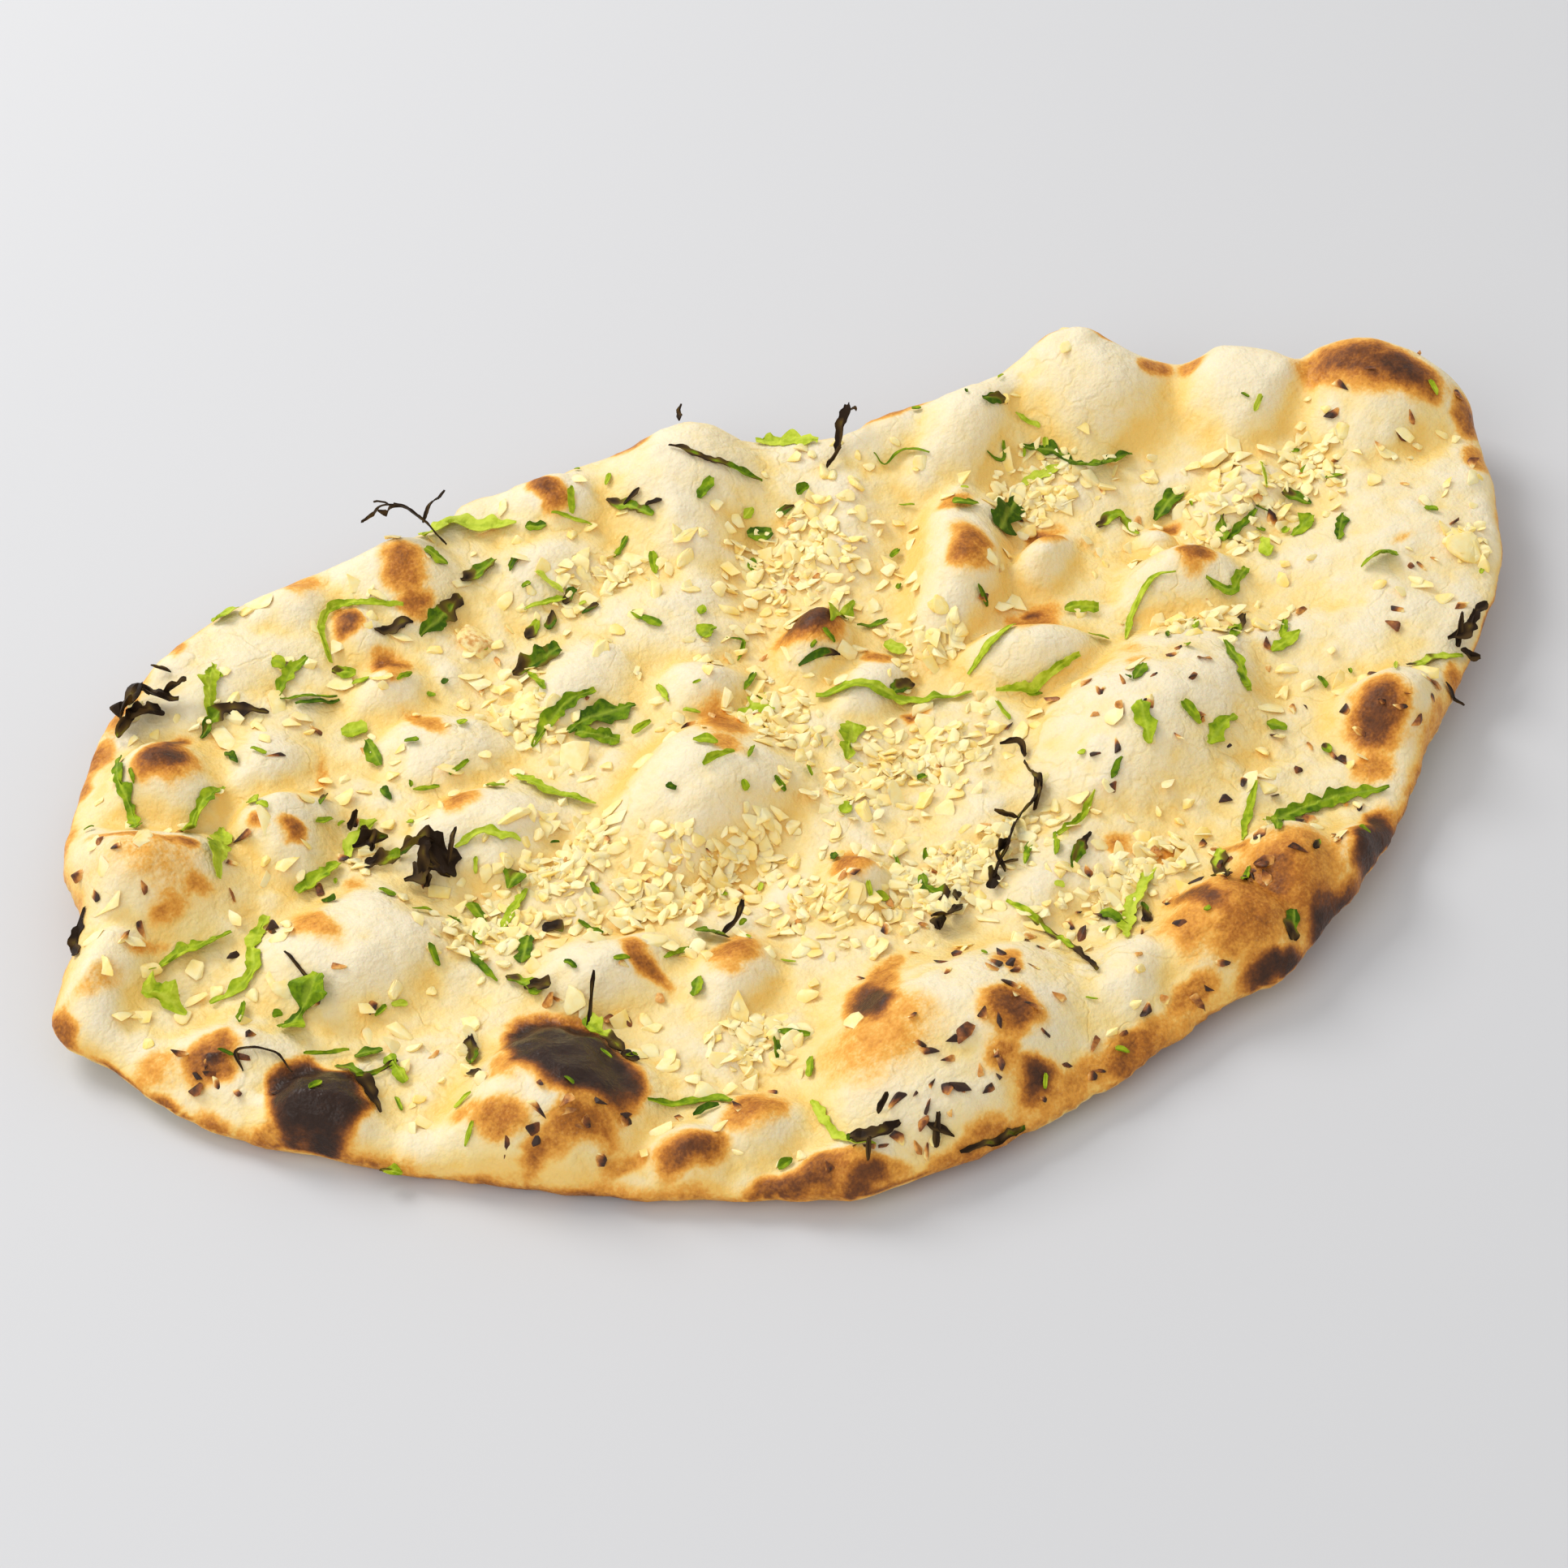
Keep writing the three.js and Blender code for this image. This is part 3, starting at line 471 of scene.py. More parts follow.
def mottled(tree, name, lumps_per_metre, spread):
    """A value kept in the mesh, made uneven by fine mottling up to the spread either way."""
    return math(tree, "ADD", attribute_value(tree, name), mottle(tree, lumps_per_metre, -spread, spread))


# The crust's finish: pale cream on the bubbles, yellower where butter lies and where shade is painted:
# in hollows, on steep slopes and along its fine winding creases. It is baked from tan through brown to
# black, with flour on what is browned.
crust, crust_tree, crust_shader = new_material("crust")
butter_and_shade = attribute_value(crust_tree, "butter_and_shade")
broad_patches, fine_patches = mottle(crust_tree, 110, -0.16, 0.16), mottle(crust_tree, 520, -0.08, 0.08)
winding = math(crust_tree, "ABSOLUTE", mottle(crust_tree, 95, -1, 1), 0)
crease = remapped(crust_tree, winding, 0, 0.16, 0.5, 0)
crease = math(crust_tree, "MULTIPLY", crease, mottle(crust_tree, 40, 0, 0.8))
uneven_butter_and_crease_shade = math(crust_tree, "ADD", broad_patches, fine_patches)
# Painted shade: the fine winding creases are coloured yellower as if shaded; the bump also cuts them.
uneven_butter_and_crease_shade = math(crust_tree, "ADD", uneven_butter_and_crease_shade, math(crust_tree, "MULTIPLY", crease, 0.5))
# Pale cream to deep yellow as butter and painted shade grow.
dough_colour = colour_ramp(crust_tree, math(crust_tree, "ADD", butter_and_shade, uneven_butter_and_crease_shade), [
    (0.02, (0.86, 0.75, 0.52)),
    (0.3, (0.87, 0.72, 0.41)),
    (0.6, (0.89, 0.68, 0.28)),
    (0.95, (0.89, 0.59, 0.16)),
])
baked = attribute_value(crust_tree, "baked")
broad_specks, fine_specks = mottle(crust_tree, 420, -0.07, 0.07), mottle(crust_tree, 1500, -0.06, 0.06)
unevenness = math(crust_tree, "ADD", broad_specks, fine_specks)
soft_edge = remapped(crust_tree, baked, 0, 0.35)
baked = math(crust_tree, "ADD", baked, math(crust_tree, "MULTIPLY", unevenness, soft_edge))
browned = colour_ramp(crust_tree, baked, [
    (0.05, (0.92, 0.68, 0.32)),
    (0.15, (0.91, 0.55, 0.13)),
    (0.28, (0.77, 0.34, 0.048)),
    (0.44, (0.46, 0.158, 0.018)),
    (0.6, (0.19, 0.060, 0.014)),
    (0.77, (0.075, 0.028, 0.012)),
    (0.95, (0.034, 0.017, 0.011)),
])
flour = math(crust_tree, "MULTIPLY", mottle(crust_tree, 2600, -0.5, 0.22), mottle(crust_tree, 160, 0, 1.2))
floured = colour_ramp(crust_tree, baked, [(0.1, (0, 0, 0)), (0.35, (1, 1, 1)), (0.6, (0, 0, 0))])
flour = math(crust_tree, "MULTIPLY", flour, floured)
frosted = mix_colour(crust_tree, flour, browned, (0.84, 0.55, 0.27, 1))
crust_colour = mix_colour(crust_tree, remapped(crust_tree, baked, 0.03, 0.22), dough_colour, frosted)
is_char = remapped(crust_tree, baked, 0.6, 0.85)
dough_roughness = remapped(crust_tree, butter_and_shade, 0, 1, 0.6, 0.36)
crust_roughness = add_node(crust_tree, "Mix", [("Factor", is_char), (2, dough_roughness), (3, 0.36)])
fine_height = math(crust_tree, "ADD", mottle(crust_tree, 320, 0, 0.6), mottle(crust_tree, 1100, 0, 0.25))
fine_height = math(crust_tree, "SUBTRACT", fine_height, crease)
crust_bump = add_node(crust_tree, "Bump", [
    ("Strength", 0.6),
    ("Distance", 0.0007),
    ("Height", fine_height),
])
crust_tree.links.new(crust_colour, crust_shader.inputs["Base Color"])
crust_tree.links.new(crust_roughness.outputs[0], crust_shader.inputs["Roughness"])
crust_tree.links.new(crust_bump.outputs["Normal"], crust_shader.inputs["Normal"])
crust_shader.inputs["Specular IOR Level"].default_value = 0.2
crust_shader.inputs["Subsurface Weight"].default_value = 0.15
crust_shader.inputs["Subsurface Radius"].default_value = (1.0, 0.6, 0.25)
crust_shader.inputs["Subsurface Scale"].default_value = 0.003
bread_mesh.materials.append(crust)
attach(bread, "root")
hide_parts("bread")


# Minced garlic lies over the whole top, thickest in the hollows, with a few larger chips and thin
# flakes. Where the oven was hottest it is toasted golden brown, and small bits are burnt black.
# The larger chips: x, y, half length, half width, height and how toasted.
CHIPS = [
    (-52, 43, 5, 4, 3, 0), (-50, 26, 5, 3.5, 3, 0), (-50, 66, 4.5, 4, 3.5, 0.13),
    (-71, 14, 4.5, 2.6, 2.2, 0), (137, -30, 5, 4, 2.6, 0), (112, 25, 4.5, 4, 3, 0),
]
# Where garlic is toasted: x, y, spread along X and along Y, how many, and how dark from 0 to 1.
TOASTED = [
    (-30, -78, 15, 10, 30, 0.8), (50, -30, 14, 9, 21, 0.6), (18, -70, 8, 6, 14, 0.75),
    (45, -78, 14, 6, 21, 0.8), (-104, -62, 9, 6, 14, 0.8), (-126, 12, 14, 10, 10, 0.7),
    (90, -56, 10, 7, 15, 0.85), (-148, -14, 9, 9, 10, 0.75), (-10, -94, 22, 4, 18, 0.75),
    (-68, -92, 16, 4, 14, 0.8), (-75, -32, 8, 6, 8, 0.7), (-100, 40, 20, 12, 9, 0.6),
    (150, 8, 8, 10, 9, 0.7), (-12, 28, 16, 10, 6, 0.5), (60, -62, 8, 8, 10, 0.8),
    (-120, -60, 12, 4, 9, 0.7), (-150, 40, 6, 20, 9, 0.6), (-60, -95, 20, 3, 8, 0.9),
    (85, -4, 18, 12, 6, 0.5), (120, -30, 14, 8, 8, 0.6), (-154, -22, 5, 14, 14, 0.8),
]


TRIES_AT_ONCE = 4000
INSIDE_RIM = 0.97


def scatter(count, draw, weight):
    """Places inside the rim, taken with the chance that a function of x and y gives."""
    places = np.zeros((0, 2))
    while len(places) < count:
        tries = draw.uniform(-1, 1, (TRIES_AT_ONCE, 2)) * (HALF_LENGTH, HALF_WIDTH)
        share = np.hypot(*tries.T) / rim_at(*tries.T)[0]
        chance = weight(*tries.T) * (share < INSIDE_RIM)
        places = np.vstack([places, tries[draw.uniform(0, 1, len(tries)) < chance]])
    return places[:count]


def heaped(x, y):
    """The chance of minced garlic at each point."""
    low = np.exp(-np.maximum(bubble_height(x, y), 0) / 3.2)
    return low * (0.025 + 0.975 * garlic_heaps(x, y) ** 1.5) * (baked_at(x, y) < 0.25)


SHAPES_OF_A_KIND = 24


def chopped(draw, corners, rounding):
    """Angular chunks, each the hull of a few seeded points with its edges rounded off."""
    shapes = []
    for number in range(SHAPES_OF_A_KIND):
        chunk_bm = bmesh.new()
        spots = draw.normal(size=(corners, 3))
        spots *= draw.uniform(0.75, 1, (corners, 1)) / np.linalg.norm(spots, axis=1, keepdims=True)
        for spot in spots / np.abs(spots).max(axis=0):
            chunk_bm.verts.new(spot)
        hull = bmesh.ops.convex_hull(chunk_bm, input=chunk_bm.verts[:])
        inner = {*hull["geom_interior"], *hull["geom_unused"]}
        bmesh.ops.delete(chunk_bm, geom=list(inner), context="VERTS")
        bmesh.ops.bevel(
            chunk_bm,
            geom=chunk_bm.edges[:],
            offset=rounding,
            segments=1,
            affect="EDGES",
            clamp_overlap=True,
        )
        shape = bpy.data.meshes.new("chunk")
        chunk_bm.to_mesh(shape)
        chunk_bm.free()
        shapes.append(shape)
    return shapes


BIT_TILT = 0.3
OVER_CRUST = 0.18


def add_bits(name, draw, shapes, places, sizes, flatness, toast):
    """Bits laid on the bread: a place, a length and width, a height as a share of the width, and how
    toasted it is from 0 to 1, for each."""
    joined = bmesh.new()
    for number in range(len(places)):
        joined.from_mesh(shapes[number % len(shapes)])
    mesh = bpy.data.meshes.new(name)
    joined.to_mesh(mesh)
    joined.free()
    points = np.array([vertex.co for vertex in mesh.vertices])
    corner_counts = [len(shapes[number % len(shapes)].vertices) for number in range(len(places))]
    owner = np.repeat(np.arange(len(places)), corner_counts)
    flatness, toast = np.broadcast_to(flatness, len(places)), np.broadcast_to(toast, len(places))
    turns = draw.uniform(0, 2 * pi, len(places))[owner]
    tilt = draw.normal(0, BIT_TILT, (len(places), 2))[owner]
    along = points[:, 0] * sizes[owner, 0] / 2
    across = points[:, 1] * sizes[owner, 1] / 2
    height = sizes[owner, 1] * flatness[owner]
    x = places[owner, 0] + along * np.cos(turns) - across * np.sin(turns)
    y = places[owner, 1] + along * np.sin(turns) + across * np.cos(turns)
    ground = 0.5 * top_height(x, y) + 0.5 * top_height(places[:, 0], places[:, 1])[owner]
    z = ground + OVER_CRUST * height + points[:, 2] * height / 2 + along * tilt[:, 0] + across * tilt[:, 1]
    mesh.vertices.foreach_set("co", (np.column_stack([x, y, z]) * MM).ravel())
    dark_end = draw.normal(0, 0.45, len(places))[owner] * points[:, 0] + 0.12 * points[:, 2]
    set_attribute(mesh, "burnt", np.where(toast[owner] > 0, np.clip(toast[owner] + dark_end, 0.05, 1), 0))
    # Tone is partly random and partly painted shade: each bit is yellower low down and paler on top.
    set_attribute(mesh, "tone", 0.5 * draw.uniform(0, 1, len(places))[owner] + 0.35 - 0.45 * points[:, 2])
    bits = bpy.data.objects.new(name, mesh)
    bpy.context.scene.collection.objects.link(bits)
    return bits


# The garlic's finish: pale yellow and a little see-through, deeper yellow in places at random and low
# on each bit, where the yellow is painted shade, and golden brown to black where it is toasted.
PALE_GARLIC = (0.98, 0.85, 0.48, 1)
YELLOW_GARLIC = (0.99, 0.70, 0.18, 1)
garlic_material, garlic_tree, garlic_shader = new_material("garlic")
garlic_tone_and_shade = mottled(garlic_tree, "tone", 500, 0.3)
garlic_pale = mix_colour(garlic_tree, garlic_tone_and_shade, PALE_GARLIC, YELLOW_GARLIC)
garlic_burnt = mottled(garlic_tree, "burnt", 900, 0.12)
garlic_toasted = colour_ramp(garlic_tree, garlic_burnt, [
    (0.12, (0.88, 0.62, 0.24)),
    (0.36, (0.66, 0.29, 0.06)),
    (0.58, (0.24, 0.075, 0.02)),
    (0.8, (0.045, 0.022, 0.014)),
])
is_toasted = remapped(garlic_tree, garlic_burnt, 0.1, 0.25)
garlic_colour = mix_colour(garlic_tree, is_toasted, garlic_pale, garlic_toasted)
garlic_tree.links.new(garlic_colour, garlic_shader.inputs["Base Color"])
garlic_shader.inputs["Roughness"].default_value = 0.45
garlic_shader.inputs["Specular IOR Level"].default_value = 0.2
garlic_shader.inputs["Subsurface Weight"].default_value = 0.3
garlic_shader.inputs["Subsurface Radius"].default_value = (1.0, 0.8, 0.4)
garlic_shader.inputs["Subsurface Scale"].default_value = 0.0007

garlic_draw = np.random.default_rng(5)
chunk_shapes = chopped(garlic_draw, 9, 0.16)
SMALL_BITS = 1200
small_places = scatter(SMALL_BITS, garlic_draw, heaped)
small_sizes = garlic_draw.uniform(1.5, 3.4, (SMALL_BITS, 2)) * (1.3, 0.95)
small_toast = np.where(garlic_draw.uniform(0, 1, SMALL_BITS) < 0.05, 0.25, 0)
small_flatness = garlic_draw.uniform(0.35, 0.7, SMALL_BITS)
small_bits = add_bits(
    "minced_garlic", garlic_draw, chunk_shapes, small_places, small_sizes, small_flatness, small_toast
)
LARGE_BITS = 950
large_places = scatter(LARGE_BITS, garlic_draw, heaped)
large_sizes = garlic_draw.uniform(2.8, 5.2, (LARGE_BITS, 2)) * (1.25, 0.9)
large_bits = add_bits("chopped_garlic", garlic_draw, chunk_shapes, large_places, large_sizes, 0.42, 0)
FLAKES = 150
flake_places = scatter(FLAKES, garlic_draw, lambda x, y: 0.5 * (baked_at(x, y) < 0.3))
flake_sizes = garlic_draw.uniform(3.0, 7.0, (FLAKES, 2)) * (1.2, 0.8)
flake_shapes = chopped(garlic_draw, 12, 0.1)
flakes = add_bits("garlic_flakes", garlic_draw, flake_shapes, flake_places, flake_sizes, 0.16, 0)
toasted_rows = np.vstack([
    np.column_stack([
        garlic_draw.normal((x, y), (spread_x, spread_y), (count, 2)),
        garlic_draw.normal(dark, 0.25, count),
    ]) for x, y, spread_x, spread_y, count, dark in TOASTED
])
on_bread = np.hypot(*toasted_rows[:, :2].T) < 0.985 * rim_at(*toasted_rows[:, :2].T)[0]
toasted_rows = toasted_rows[on_bread]
toasted_sizes = garlic_draw.uniform(1.8, 4.2, (len(toasted_rows), 2)) * (1.25, 0.75)
toasted_shapes = chopped(garlic_draw, 7, 0.1)
toasted = add_bits(
    "toasted_garlic", garlic_draw, toasted_shapes, toasted_rows[:, :2], toasted_sizes,
    0.5, np.clip(0.75 * toasted_rows[:, 2], 0.2, 0.9),
)
chip_rows = np.array(CHIPS, float)
chip_shapes = chopped(garlic_draw, 16, 0.1)
chips = add_bits(
    "garlic_chips", garlic_draw, chip_shapes, chip_rows[:, :2], 2 * chip_rows[:, 2:4],
    chip_rows[:, 4] / chip_rows[:, 3] / 2, chip_rows[:, 5],
)
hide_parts(*[f"garlic_{number:02d}" for number in range(1, 7)])
for bits in (small_bits, large_bits, flakes, toasted, chips):
    bits.data.materials.append(garlic_material)
    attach(bits, "root")


# Coriander is strewn over it as shreds and bits of leaf: grids bent along their paths, with ragged
# edges, thin and wavy. The larger are in the order of their nodes.
# Each piece: its width, its colour from 0 yellow-green to 1 deep green, how burnt it is, and its path.
CORIANDER = [
    (3.5, 0.3, 0, (-129, 70), (-133, 62), (-134, 54), (-137, 45)),
    (4, 0.4, 0, (-108, 72), (-105, 78), (-101, 84)),
    (3, 0.6, 0, (-129, 41), (-124, 47), (-115, 52)),
    (4, 0.4, 0, (-128, 28), (-124, 35), (-120, 44)),
    (4, 0.8, 0.5, (-112, 69), (-104, 73), (-97, 68)),
    (3, 0.5, 0, (-93, 72), (-88, 76), (-83, 78)),
    (2.5, 0.3, 0, (-79, 75), (-77, 83), (-71, 87), (-66, 83), (-60, 78)),
    (5, 0.9, 0.2, (-60, 71), (-54, 73), (-47, 77)),
    (5, 0.4, 0, (-152, 14), (-149, 10), (-147, 6)),
    (4, 0.5, 0, (-149, 17), (-141, 18), (-131, 18)),
    (4, 0.5, 0, (-142, 6), (-133, 6), (-129, 13), (-123, 19)),
    (4, 0.6, 0, (-115, 21), (-109, 23), (-104, 25)),
    (5, 0.7, 0, (-102, 26), (-98, 30), (-92, 32)),
    (3, 0.4, 0, (-84, 14), (-78, 14), (-72, 9)),
    (3.5, 0.6, 0, (-62, 29), (-60, 20), (-53, 12)),
    (6, 0.8, 0, (-47, 33), (-40, 34), (-31, 33)),
    (3.5, 0.6, 0, (-55, 34), (-46, 38), (-37, 39)),
    (6, 0.1, 0, (-46, 95), (-39, 97), (-33, 92), (-27, 88)),
    (5, 0.9, 0.3, (-48, 54), (-43, 53), (-37, 53)),
    (2.5, 0.9, 0.4, (9, 84), (13, 78), (18, 74), (24, 70)),
    (3.5, 0.4, 0, (1, 14), (10, 8), (18, 3), (29, -2)),
    (3, 0.5, 0, (12, 25), (18, 30), (24, 34)),
    (2.2, 0.4, 0, (33, -5), (40, -9), (52, -8)),
    (3.5, 0.7, 0.2, (-9, -39), (-10, -43), (-8, -47)),
    (4, 0.6, 0.4, (34, -80), (38, -73), (43, -67)),
    (3.5, 0.4, 0, (12, -78), (19, -70), (29, -64)),
    (4.5, 0.6, 0, (49, -76), (57, -68), (69, -68), (81, -73)),
    (4.5, 0.6, 0, (79, 50), (84, 46), (88, 38), (99, 37)),
    (5.5, 0.8, 0, (61, 33), (66, 37), (71, 41)),
    (4, 0.8, 0, (93, 20), (98, 22), (103, 23)),
    (4, 0.7, 0, (115, -22), (119, -22), (123, -24)),
    (3, 0.6, 0, (73, -38), (75, -31), (77, -24)),
    (3.5, 0.6, 0, (56, -46), (60, -44), (66, -42)),
    (7, 0.6, 0, (-134, -8), (-128, -6), (-123, -3)),
    (4, 0.9, 0.6, (-108, -35), (-106, -31), (-104, -27)),
]
# The smaller shreds, which have no nodes, given in the same way.
SHREDS = [
    (2, .5, 0, (-93, 71), (-82, 67)), (2, .6, 0, (-91, 68), (-82, 66)),
    (3, .5, .2, (-80, 73), (-76, 70)), (2, .5, 0, (-78, 68), (-75, 66)),
    (1.5, .4, 0, (-71, 61), (-67, 62)), (5, .1, 0, (-86, 58), (-81, 56)),
    (3, .8, .9, (-68, 76), (-62, 75), (-60, 74)), (3, .5, 0, (-83, 53), (-84, 45)),
    (3, .4, 0, (-90, 80), (-88, 78)), (6, .1, 0, (-95, 97), (-89, 98)),
    (1.4, .9, .9, (-109, 88), (-112, 91, 2)), (2, .5, 0, (-87, 39), (-87, 35)),
    (2.5, .4, 0, (-113, 46), (-113, 41)), (2, .9, .4, (-101, 38), (-98, 42)),
    (2, .5, 0, (-110, 62), (-110, 56)), (1.5, .4, 0, (-106, 58), (-104, 55)),
    (1.5, .5, 0, (-104, 34), (-100, 35)), (2, .5, 0, (-112, 17), (-111, 13)),
    (2, .5, 0, (-102, 12), (-100, 9)), (1.5, .5, 0, (-82, 35), (-77, 33)),
    (1.5, .5, 0, (-74, 34), (-69, 35)), (3.5, .5, 0, (-69, 28), (-67, 24)),
    (2, .5, 0, (-66, 44), (-64, 45)), (2, .6, 0, (-140, -3), (-137, 2)),
    (3, .9, 1, (-159, 27), (-157, 33), (-153, 36)), (1, 1, 1, (-126, 5), (-125, -2), (-123, -4)),
    (1.5, .5, 0, (-99, 4), (-95, 3)), (3, .6, 0, (-93, 1), (-91, -1)), (3, .6, 0, (-87, 3), (-87, -3)),
    (5, .7, .2, (-79, 2), (-75, 4)), (2, .5, 0, (-94, -9), (-94, -12), (-93, -18)),
    (2, .7, 0, (-90, -4), (-91, -8)), (3, .5, 0, (-86, -7), (-76, 0)),
    (1.5, .5, 0, (-101, -6), (-101, -10)), (2, .5, 0, (-65, -6), (-65, -9)),
    (3, .6, 0, (-87, -17), (-82, -11)), (3, .8, .8, (-78, -10), (-76, -14)),
    (1, .4, 0, (-72, -13), (-70, -19)), (4, .6, .2, (-91, -18), (-88, -26)),
    (3, .8, .9, (-89, -22), (-87, -28, 2)), (1.5, .5, 0, (-82, -25), (-81, -28)),
    (2, .4, 0, (-74, -30), (-71, -31)), (1.8, .3, 0, (-64, -32), (-57, -31)),
    (5, .7, .3, (-54, -27), (-50, -33)), (1.5, 1, 1, (-50, -31), (-46, -30, 2), (-43, -27, 3)),
    (3, .5, 0, (-64, -43), (-61, -40)), (1, .6, 0, (-133, -15), (-125, -18)),
    (4, .5, 0, (-125, -20), (-120, -22)), (1.2, .8, .4, (-128, -27), (-119, -26)),
    (3, .3, 0, (-120, -24), (-120, -31)), (3, .9, .5, (-129, -20), (-127, -28), (-128, -36)),
    (3, .5, .2, (-133, -44), (-130, -47)),
    (1, 1, 1, (-145, -14), (-144, -10), (-138, -13), (-137, -18)),
    (1.6, .9, .9, (-110, -36), (-110, -42)), (4, .5, .2, (-84, -36), (-84, -42), (-83, -48)),
    (3, .9, 1, (-83, -48), (-82, -52)), (1.2, 1, 1, (-85, -38), (-83, -36, 2), (-80, -33, 5)),
    (2, .4, 0, (-86, -62), (-79, -64), (-74, -66), (-73, -70)), (2, .6, 0, (-80, -68), (-75, -69)),
    (1.8, .5, 0, (-59, -64), (-56, -59)), (2, .5, 0, (-57, -72), (-54, -68)),
    (1.8, .5, 0, (-55, -58), (-51, -63)), (2.5, .2, 0, (-60, -77), (-61, -88), (-57, -94)),
    (2, .5, 0, (-73, -86), (-70, -86)), (1.5, .9, .6, (-43, -101), (-36, -102), (-29, -102)),
    (2, 1, 1, (-47, -95), (-43, -99)), (1.8, 1, 1, (-44, -95), (-47, -99)),
    (3.5, .5, .4, (-45, 80), (-36, 82)), (2, .5, 0, (-35, 77), (-32, 80)),
    (2, .5, 0, (-35, 72), (-33, 72)), (3, .1, 0, (-31, 73), (-28, 67)),
    (4, .5, 0, (-49, 88), (-46, 84)), (3, .5, 0, (-26, 86), (-22, 84)),
    (1, .4, 0, (-20, 85), (-13, 80)), (2, .5, 0, (-16, 83), (-13, 88)),
    (3, .5, .3, (-7, 84), (-4, 78), (-2, 73)), (2, 1, 1, (-5, 80), (-1, 80)),
    (2, 1, 1, (-2, 76), (1, 74)), (2.5, .5, 0, (-13, 71), (-8, 74)), (2, .4, 0, (-8, 62), (-6, 67)),
    (2, .4, 0, (-37, 68), (-28, 66)), (3, .8, .5, (-40, 62), (-36, 64)),
    (2.5, .8, .5, (-35, 61), (-32, 65)), (2.5, .8, .4, (-29, 65), (-25, 67)),
    (2, .8, .4, (-27, 61), (-23, 61)), (2.5, .2, 0, (-46, 44), (-45, 53)),
    (2.5, .5, 0, (-19, 54), (-16, 47)), (2, .5, 0, (-7, 46), (-5, 48)), (5, .5, 0, (-10, 40), (-6, 42)),
    (1, .6, 0, (-5, 39), (-2, 37), (-6, 33)), (1.8, .5, 0, (-25, 34), (-26, 28)),
    (4, .6, 0, (-46, 32), (-39, 26)), (2, .5, 0, (-36, 26), (-31, 27)),
    (1.5, .5, 0, (-25, 24), (-22, 22)), (6, .1, 0, (-15, 17), (-6, 22)),
    (2, .5, 0, (-10, 24), (-5, 28)), (3, .6, 0, (-33, 7), (-29, 4)), (1.5, .3, 0, (-35, 0), (-27, 1)),
    (1, .5, 0, (-25, -1), (-21, 3)), (5, .3, 0, (-4, -5), (3, 3)), (1.5, .9, .3, (2, 22), (11, 20)),
    (2.5, .6, 0, (8, 70), (13, 73)), (2, .5, 0, (16, 65), (19, 66)), (4, .6, 0, (15, 62), (20, 60)),
    (2, .9, .3, (23, 63), (27, 62)), (2.5, .5, 0, (29, 64), (32, 64)), (2.5, .4, 0, (11, 54), (13, 57)),
    (1.2, .5, 0, (49, 64), (50, 61), (55, 61), (58, 56)), (5, .1, 0, (30, 82), (36, 79), (41, 74)),
    (2, .5, 0, (20, 27), (27, 26)), (4, .1, 0, (22, 20), (25, 16)), (3, .9, .5, (15, 6), (21, 8)),
    (2.5, .4, 0, (31, 2), (44, 4)), (1.5, .4, 0, (30, -14), (31, -8)),
    (3, .5, 0, (-13, -17), (-10, -15)), (2, .5, 0, (6, -16), (8, -16)),
    (1, .6, 0, (-12, -36), (-10, -31)), (2, .5, 0, (-21, -40), (-18, -41)),
    (2, .4, 0, (8, -50), (13, -45)), (2, .5, 0, (18, -47), (24, -46), (30, -43)),
    (2, .5, 0, (14, -52), (18, -46)), (2.5, .6, .5, (15, -56), (24, -50)),
    (1.8, .5, 0, (34, -43), (38, -41)), (4, .5, 0, (44, -42), (48, -33)),
    (3, .5, 0, (51, -27), (56, -24)), (2.5, .5, 0, (57, -42), (56, -37)),
    (2.5, .9, .6, (19, -75), (22, -70)), (1.8, .5, .3, (0, -55), (2, -64), (3, -72), (1, -83)),
    (2.5, .5, .2, (14, -67), (16, -73)), (1.8, .4, 0, (46, -70), (53, -63), (60, -57)),
    (1.5, .5, 0, (36, -82), (41, -78)), (4, .9, .4, (38, -96), (42, -91)),
    (1.5, .9, .6, (52, -84), (55, -82)), (3, .1, 0, (74, 43), (83, 42)), (4, .6, 0, (54, 41), (60, 40)),
    (3, .9, .4, (74, 59), (80, 58)), (1.2, .5, 0, (81, 56), (84, 51)),
    (1, .5, 0, (70, 51), (73, 49), (75, 52)), (3, .5, .2, (81, 25), (87, 25), (87, 18)),
    (3.5, .4, 0, (60, 8), (66, 4)), (2, .5, 0, (58, -3), (62, -5)),
    (2, .4, 0, (64, -8), (70, -2), (77, 1), (82, -1)), (3, .4, 0, (87, -5), (91, -9), (98, -5)),
    (3, .7, .2, (100, 5), (103, 10)), (2.5, .6, 0, (101, 5), (110, 7)),
    (1.2, .5, 0, (115, 10), (119, 17)), (3, .6, .2, (118, 8), (121, 2)), (2, .4, 0, (127, 5), (130, 3)),
    (4, .5, 0, (112, -3), (119, -1)), (3, .1, 0, (104, -5), (107, 1)),
    (3, .5, 0, (117, -12), (123, -6)), (2, .5, 0, (137, -16), (138, -19)),
    (2, .4, 0, (75, -17), (79, -12)), (2.5, .8, .3, (80, -23), (89, -16)),
    (3, .4, 0, (86, -29), (94, -28)), (2, .6, 0, (90, -27), (94, -23)),
    (2, .5, 0, (89, -43), (90, -40)), (3, .5, 0, (72, -45), (75, -48)),
    (2, .5, .3, (78, -58), (79, -55)), (.9, .2, 0, (98, -53), (104, -47)),
    (1.5, .5, 0, (158, 6), (158, 9)), (2.5, .3, .2, (103, -51), (112, -50), (118, -52)),
    (2, 1, 1, (109, -57), (110, -62)), (2.5, 1, 1, (117, -52, 2), (121, -54, 1)),
]
